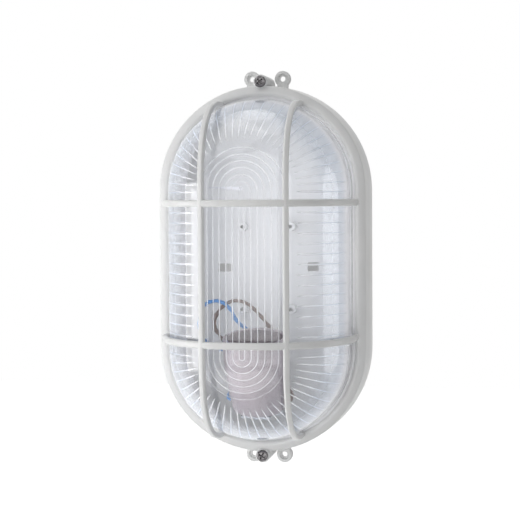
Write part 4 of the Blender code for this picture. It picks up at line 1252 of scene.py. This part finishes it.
@dataclass
class CoverScrews:
    """The two blackened screws that hold the guard."""

    z: float = 130.8
    seat: float = 32.6
    screw: PanScrew = field(default_factory=lambda: PanScrew(4.0, 2.4, 1.95, 22.0))
    turns: Pair = (38.0, 62.0)

    def build(self) -> None:
        """Builds both screws, each turned to where its recess stopped."""
        for name, z, turn in (("top", self.z, self.turns[0]), ("bottom", -self.z, self.turns[1])):
            grid = self.screw.surface()
            angle = math.radians(turn)
            spin = np.array([[math.cos(angle), -math.sin(angle)], [math.sin(angle), math.cos(angle)]])
            grid[..., :2] = grid[..., :2] @ spin.T
            skin = Skin.from_grid(facing_front(grid, 0.0, self.seat, z))
            piece(f"pan_screw_{name}", [skin], DARK_STEEL, f"cover_screw_{name}", 30.0)


@dataclass
class Lampholder:
    """The porcelain lampholder: a tapered cup on a tilted axis, with a threaded shell inside."""

    tilt: float = 12.0
    rear: Triple = (0.0, 44.4, -96.1)
    length: float = 52.5
    mouth_radius: float = 22.5
    rear_radius: float = 17.8
    waist: float = 22.0
    chamfer: float = 1.5
    bore: float = 19.0
    mouth_deep: float = 12.5
    shell_radius: float = 14.9
    floor: float = 14.0
    thread_pitch: float = 3.62
    thread_height: float = 0.45
    shell_wall: float = 0.5
    shell_top: float = 42.0

    def frame_matrix(self) -> Matrix:
        """The lampholder's own frame in row frame metres: +Z along its axis, tilted to the front."""
        x, depth, z = self.rear
        turn = Matrix.Rotation(math.radians(self.tilt), 4, "X")
        return Matrix.Translation((x * MM, -depth * MM, z * MM)) @ turn

    def own(self, grid: Array) -> Skin:
        """The surface of a grid of (x, y, height) in the lampholder's frame, put in its place."""
        return Skin.from_grid(grid * np.array([1.0, -1.0, 1.0])).turned_by(self.frame_matrix())

    def build(self) -> None:
        """Builds the body and the shell as two pieces."""
        body = piece("lampholder_cup", [self.own(self.cup())], PORCELAIN, "lampholder_body")
        carve(body, self.pockets())
        piece("lampholder_screw_shell", [self.own(self.shell())], ALUMINIUM, "lampholder_shell", 60.0)

    def cup(self) -> Array:
        """The cup's profile, from the middle of the rear face up the outside and down the inside, turned.

        Returns:
            Grid of (across, cross, height).
        """
        r, w = self.mouth_radius, self.length
        mouth_floor = w - self.mouth_deep
        profile = [(0.0, 0.0, 0.0), (self.rear_radius, 0.0, 3.6), (r - self.chamfer / 2, w - self.waist, 8.0)]
        profile += [(r, w - 3.0, 2.0), (r - 0.5, w, 1.2), (self.bore, w, 0.9), (self.bore, mouth_floor, 0.8)]
        profile += [(self.shell_radius + 0.6, mouth_floor, 0.5), (self.shell_radius + 0.5, self.floor, 0.4)]
        return turned(rounded(profile + [(0.0, self.floor, 0.0)], steps=6, closed=False), 96)

    def shell(self) -> Array:
        """The screw shell: a thin tube whose wall waves with the angle and the height together, one
        wave each turn, which makes a single thread.

        Returns:
            Grid of (across, cross, height).
        """
        low = self.floor + 0.3
        height = np.linspace(low + 1.2, self.shell_top, 120)
        angle = 2 * np.pi * np.arange(72) / 72
        wave = 2 * np.pi * height[None, :] / self.thread_pitch - angle[:, None]
        fade = smoothstep(low + 1.2, low + 4.0, height)
        fade = fade * (1 - smoothstep(self.shell_top - 3.0, self.shell_top - 1.0, height))
        bulge = self.thread_height * (0.5 * np.cos(wave) - 0.5) * fade[None, :]
        outer, inner = self.shell_radius + bulge, self.shell_radius - self.shell_wall + bulge
        ring = self.shell_radius - 4.4
        turn = np.stack([np.cos(angle), np.sin(angle)], -1)[:, None, :]
        down = np.concatenate([inner[:, ::-1], np.full((72, 2), ring)], 1)
        down_z = np.concatenate([height[::-1], [low + self.shell_wall, low]])
        up = np.concatenate([np.full((72, 1), self.shell_radius - 0.2), outer], 1)
        up_z = np.concatenate([[low], height])
        radius = np.concatenate([up, down, up[:, :1]], 1)[..., None]
        level = np.concatenate([up_z, down_z, up_z[:1]])
        level = np.broadcast_to(level[None, :, None], radius.shape)
        return np.concatenate([radius * turn, level], -1)

    def pockets(self) -> list[Skin]:
        """Cutters of the two terminal pockets at the rear.

        Returns:
            One cutter for each side.
        """
        cutters = []
        for sign in (1, -1):
            low, high = sorted((sign * 6.5, sign * 24.0))
            grid = block((low, high), (-2.0, 10.0), (-4.5, 4.5), 0.6)
            cutters.append(self.own(grid[..., [0, 2, 1]]))
        return cutters


@dataclass
class Wires:
    """The blue and brown inner wires, which loop above the lampholder down to the terminal block."""

    lampholder: Lampholder
    radius: float = 1.25
    terminal_x: Pair = (12.4, 16.4)
    terminal_up: float = 6.3
    sleeve_x: float = 6.5
    sleeve_depth: float = 12.55
    sleeve_z: Pair = (-47.5, -53.5)
    beside: float = 21.4
    beside_rise: float = 3.6
    turn: tuple[Triple, ...] = (
        (0.94, 0.05, 0.0), (1.0, 0.20, 0.0), (1.0, 0.42, 0.4), (0.9, 0.68, 1.1),
    )
    neutral: tuple[Triple, ...] = (
        (-20.5, 27.5, -80.0), (-19.0, 25.0, -71.5), (-19.5, 24.0, -65.5), (-24.0, 24.0, -59.6),
        (-32.0, 25.0, -55.4), (-40.5, 27.0, -51.0), (-46.0, 28.6, -43.2), (-46.5, 29.0, -35.0),
        (-40.5, 29.7, -25.3), (-33.4, 30.0, -22.3), (-28.5, 29.6, -22.8), (-25.0, 28.5, -25.2),
        (-21.6, 26.5, -29.3), (-19.0, 22.6, -36.2), (-13.0, 18.0, -42.8),
    )
    live: tuple[Triple, ...] = (
        (13.5, 23.0, -81.0), (4.0, 17.0, -78.5), (-7.0, 14.5, -76.0), (-15.5, 14.8, -71.0),
        (-19.5, 15.8, -64.0), (-24.0, 17.2, -56.5), (-30.0, 19.3, -49.5), (-34.3, 21.6, -42.0),
        (-33.7, 23.6, -34.5), (-29.4, 24.5, -27.8), (-22.5, 25.1, -23.0), (-15.5, 25.2, -22.6),
        (-9.0, 24.8, -25.5), (-3.5, 23.5, -30.6), (2.2, 20.5, -38.0),
    )

    def build(self) -> None:
        """Builds both wires."""
        for name, sign, route, finish in (
            ("neutral", -1, self.neutral, BLUE_PVC),
            ("live", 1, self.live, BROWN_PVC),
        ):
            piece(f"sheath_{name}", [self.sheath(sign, np.array(route))], finish, f"wire_{name}", 60.0)

    def sheath(self, sign: int, route: Array) -> Skin:
        """A round tube along the smooth route, with a UV map in metres along and round it.

        Args:
            sign: 1 for the live side, -1 for the neutral side.
            route: Points between the two straight ends.

        Returns:
            The closed tube.
        """
        matrix = self.lampholder.frame_matrix()
        ends = [(sign * x, 0.0, self.terminal_up) for x in self.terminal_x]
        ends += [
            (sign * x * self.beside, back * self.beside, self.terminal_up + rise * self.beside_rise)
            for x, back, rise in self.turn
        ]
        placed = [matrix @ (MM * Vector(end)) for end in ends]
        start = np.array([(p.x / MM, -p.y / MM, p.z / MM) for p in placed])
        end = np.array([(sign * self.sleeve_x, self.sleeve_depth, z) for z in self.sleeve_z])
        path = smooth_path(np.concatenate([start, route, end]), 8)
        angle = 2 * np.pi * np.arange(17) / 16
        section = self.radius * np.stack([np.cos(angle), np.sin(angle)], 1)
        grid = tube(path, section, parallel_side(path, np.array([0.0, 0.3, 1.0])))
        run = np.concatenate([[0.0], np.cumsum(np.linalg.norm(np.diff(path, axis=0), axis=1))])
        run = np.concatenate([[0.0], run, [run[-1]]]) * MM
        uv = stacked(run[:, None], angle[None, :] * self.radius * MM)
        return Skin.from_grid(grid, (False, False), uv)


@dataclass
class InnerFittings:
    """Small fittings whose CAD shape is already right: they keep it and get a real finish."""

    finishes: tuple[tuple[Finish, tuple[str, ...]], ...] = (
        (GREY_RUBBER, ("bowl_gasket", "cable_grommet")),
        (POLYAMIDE, ("terminal_block_body",)),
        (ZINC_STEEL, ("lampholder_bracket", "bracket_screw", "holder_screw", "clamp_screw")),
        (ZINC_STEEL, ("terminal_block_screw",)),
        (BRASS, ("terminal_s", "lampholder_terminal", "lampholder_centre_contact", "screw_insert")),
    )

    def dress(self) -> None:
        """Gives each shown CAD node the finish that has the beginning of its name in its list."""
        for name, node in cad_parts.items():
            if node.hide_render:
                continue
            finish = next(finish for finish, starts in self.finishes if name.startswith(starts))
            material = finish.material()
            for slot in node.material_slots:
                slot.material = material
            if not node.material_slots:
                node.data.materials.append(material)
            LOG.info("%s: CAD shape, %s", name, finish.slot.value)


# Camera, light and floor


@dataclass(frozen=True)
class Lamp:
    """An area lamp that faces the light: place and size in metres, power in watts.

    One that doesn't light matt surfaces is round, and only shines in glossy ones.
    """

    name: str
    at: Triple
    size: Pair
    power: float
    lights: bool = True

    def build(self) -> None:
        """Puts the lamp into the scene, aimed at the origin and unseen by the camera."""
        data = bpy.data.lights.new(self.name, "AREA")
        data.shape = "RECTANGLE" if self.lights else "ELLIPSE"
        data.size, data.size_y = self.size
        data.energy = self.power
        obj = linked(self.name, data)
        aim = -Vector(self.at)
        obj.matrix_world = Matrix.Translation(self.at) @ aim.to_track_quat("-Z", "Y").to_matrix().to_4x4()
        obj.visible_camera = False
        obj.visible_diffuse = self.lights


@dataclass
class Studio:
    """A pale studio: white floor and surround, a soft key from the left front and weak lamps round it."""

    eye: Triple = (177.5, -1013.9, 49.4)
    azimuth: float = 10.3
    elevation: float = 2.45
    roll: float = -0.35
    lens: float = 98.93
    floor_z: float = -0.62
    floor_half: float = 4.0
    floor_glow: float = 0.82
    fibre_mm: float = 1000.0 / 60.0
    ambient_front: float = 0.27
    ambient_back: float = 0.14
    ambient_top: float = 0.15
    wall_shade: float = 0.3
    wall_span: Pair = (0.80, 0.92)
    lamps: tuple[Lamp, ...] = (
        Lamp("key", (-1.6, -0.45, -0.44), (1.0, 1.5), 21.0),
        Lamp("bounce", (-0.2, -0.66, -0.57), (1.3, 0.6), 2.5),
        Lamp("overhead", (-0.5, -0.5, 1.15), (1.2, 1.2), 4.5),
        Lamp("fill", (1.7, 0.25, -0.2), (1.0, 1.4), 0.5),
        Lamp("sheen_top", (-0.1, 0.3, 1.3), (0.6, 0.6), 0.9, False),
        Lamp("sheen_wide", (-0.08, 0.05, 1.35), (0.85, 1.6), 3.0, False),
        Lamp("sheen_right", (1.5, 0.42, -0.06), (0.9, 1.3), 4.4, False),
        Lamp("veil", (0.3, -2.2, 0.3), (3.2, 3.2), 26.0, False),
    )

    def build(self) -> None:
        """Builds the camera, the surround, the floor and the lamps."""
        self.camera()
        self.surround()
        self.floor()
        for lamp in self.lamps:
            lamp.build()
        bpy.context.scene.view_settings.view_transform = "Standard"

    def camera(self) -> None:
        """The camera at the photograph's angle, from its azimuth, elevation and a slight roll."""
        az, el, roll = (math.radians(a) for a in (self.azimuth, self.elevation, self.roll))
        back = Vector((math.sin(az) * math.cos(el), -math.cos(az) * math.cos(el), math.sin(el)))
        right = Vector((math.cos(az), math.sin(az), 0.0))
        up = back.cross(right)
        across = math.cos(roll) * right + math.sin(roll) * up
        along = -math.sin(roll) * right + math.cos(roll) * up
        turn = Matrix((across, along, back)).transposed().to_4x4()
        data = bpy.data.cameras.new("camera")
        data.lens = self.lens
        data.sensor_width = 36.0
        data.clip_start, data.clip_end = 0.05, 30.0
        obj = linked("camera", data)
        obj.matrix_world = Matrix.Translation(Vector(self.eye) * MM) @ turn
        bpy.context.scene.camera = obj
    def surround(self) -> None:
        """The world: white where the camera, a reflection or the glass looks, and else a soft light that
        is weaker from behind and from below. Straight back through the glass, only the tray's wall box
        slots let it be seen, and there it is the shaded wall."""
        world = bpy.data.worlds.new("studio")
        bpy.context.scene.world = world
        tree = fresh_tree(world)
        ray = add_node(tree, "ShaderNodeLightPath")
        first = maths(tree, "LESS_THAN", ray.outputs["Diffuse Depth"], 0.5)
        seen = maths(tree, "MULTIPLY", white_rays(tree, ray), first)
        place = add_node(tree, "ShaderNodeTexCoord").outputs["Generated"]
        towards = add_node(tree, "ShaderNodeSeparateXYZ", links={"Vector": place}).outputs
        behind = mapped(
            tree, towards["Y"], (-0.35, 0.35), (self.ambient_front, self.ambient_back),
            interpolation_type="SMOOTHSTEP",
        )
        soft = maths(tree, "MULTIPLY_ADD", towards["Z"], self.ambient_top, behind)
        wall = mapped(tree, towards["Y"], self.wall_span, (0.0, 1.0 - self.wall_shade))
        through = maths(tree, "MULTIPLY", wall, ray.outputs["Is Transmission Ray"])
        white = maths(tree, "SUBTRACT", 1.0, through)
        both = {"Factor": seen, "A": soft, "B": white}
        level = add_node(tree, "ShaderNodeMix", links=both, data_type="FLOAT")
        shade = add_node(
            tree, "ShaderNodeBackground", {"Color": srgb("FFFFFF")}, {"Strength": level.outputs["Result"]}
        )
        add_node(tree, "ShaderNodeOutputWorld", links={"Surface": shade.outputs["Background"]})

    def floor(self) -> None:
        """A wide pale floor well below: matt white paper with a faint fibre, which the camera, a
        reflection and the glass see lifted to white."""
        corner = np.array([-self.floor_half, self.floor_half])
        x, y = np.meshgrid(corner, corner, indexing="ij")
        mesh = bpy.data.meshes.new("floor")
        mesh.from_pydata(stacked(x, y, self.floor_z).reshape(-1, 3).tolist(), [], [(0, 2, 3, 1)])
        made = bpy.data.materials.new("white_paper")
        tree = fresh_tree(made)
        place = add_node(tree, "ShaderNodeTexCoord")
        fibre = noise(tree, place.outputs["Object"], self.fibre_mm, 3.0)
        bump = add_node(tree, "ShaderNodeBump", {"Strength": 0.2, "Distance": 0.0002}, {"Height": fibre})
        matt = add_node(
            tree, "ShaderNodeBsdfDiffuse", {"Color": srgb("F8F8F8")}, {"Normal": bump.outputs["Normal"]}
        )
        seen = white_rays(tree, add_node(tree, "ShaderNodeLightPath"))
        lift = maths(tree, "MULTIPLY", seen, self.floor_glow)
        glow = add_node(tree, "ShaderNodeEmission", {"Color": srgb("FFFFFF")}, {"Strength": lift})
        both = {0: matt.outputs["BSDF"], 1: glow.outputs["Emission"]}
        lifted = add_node(tree, "ShaderNodeAddShader", links=both)
        add_node(tree, "ShaderNodeOutputMaterial", links={"Surface": lifted.outputs["Shader"]})
        mesh.materials.append(made)
        linked("floor", mesh)


def main() -> None:
    """Builds the studio and each sub-assembly in order."""
    logging.basicConfig(level=logging.INFO, format="%(name)s: %(message)s", stream=sys.stdout)
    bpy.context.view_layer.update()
    oval = Oval()
    lampholder = Lampholder()
    Studio().build()
    Housing(oval).build()
    Guard(oval).build()
    GlassBowl(oval).build()
    CoverScrews().build()
    lampholder.build()
    Wires(lampholder).build()
    InnerFittings().dress()


if __name__ == "__main__":
    main()
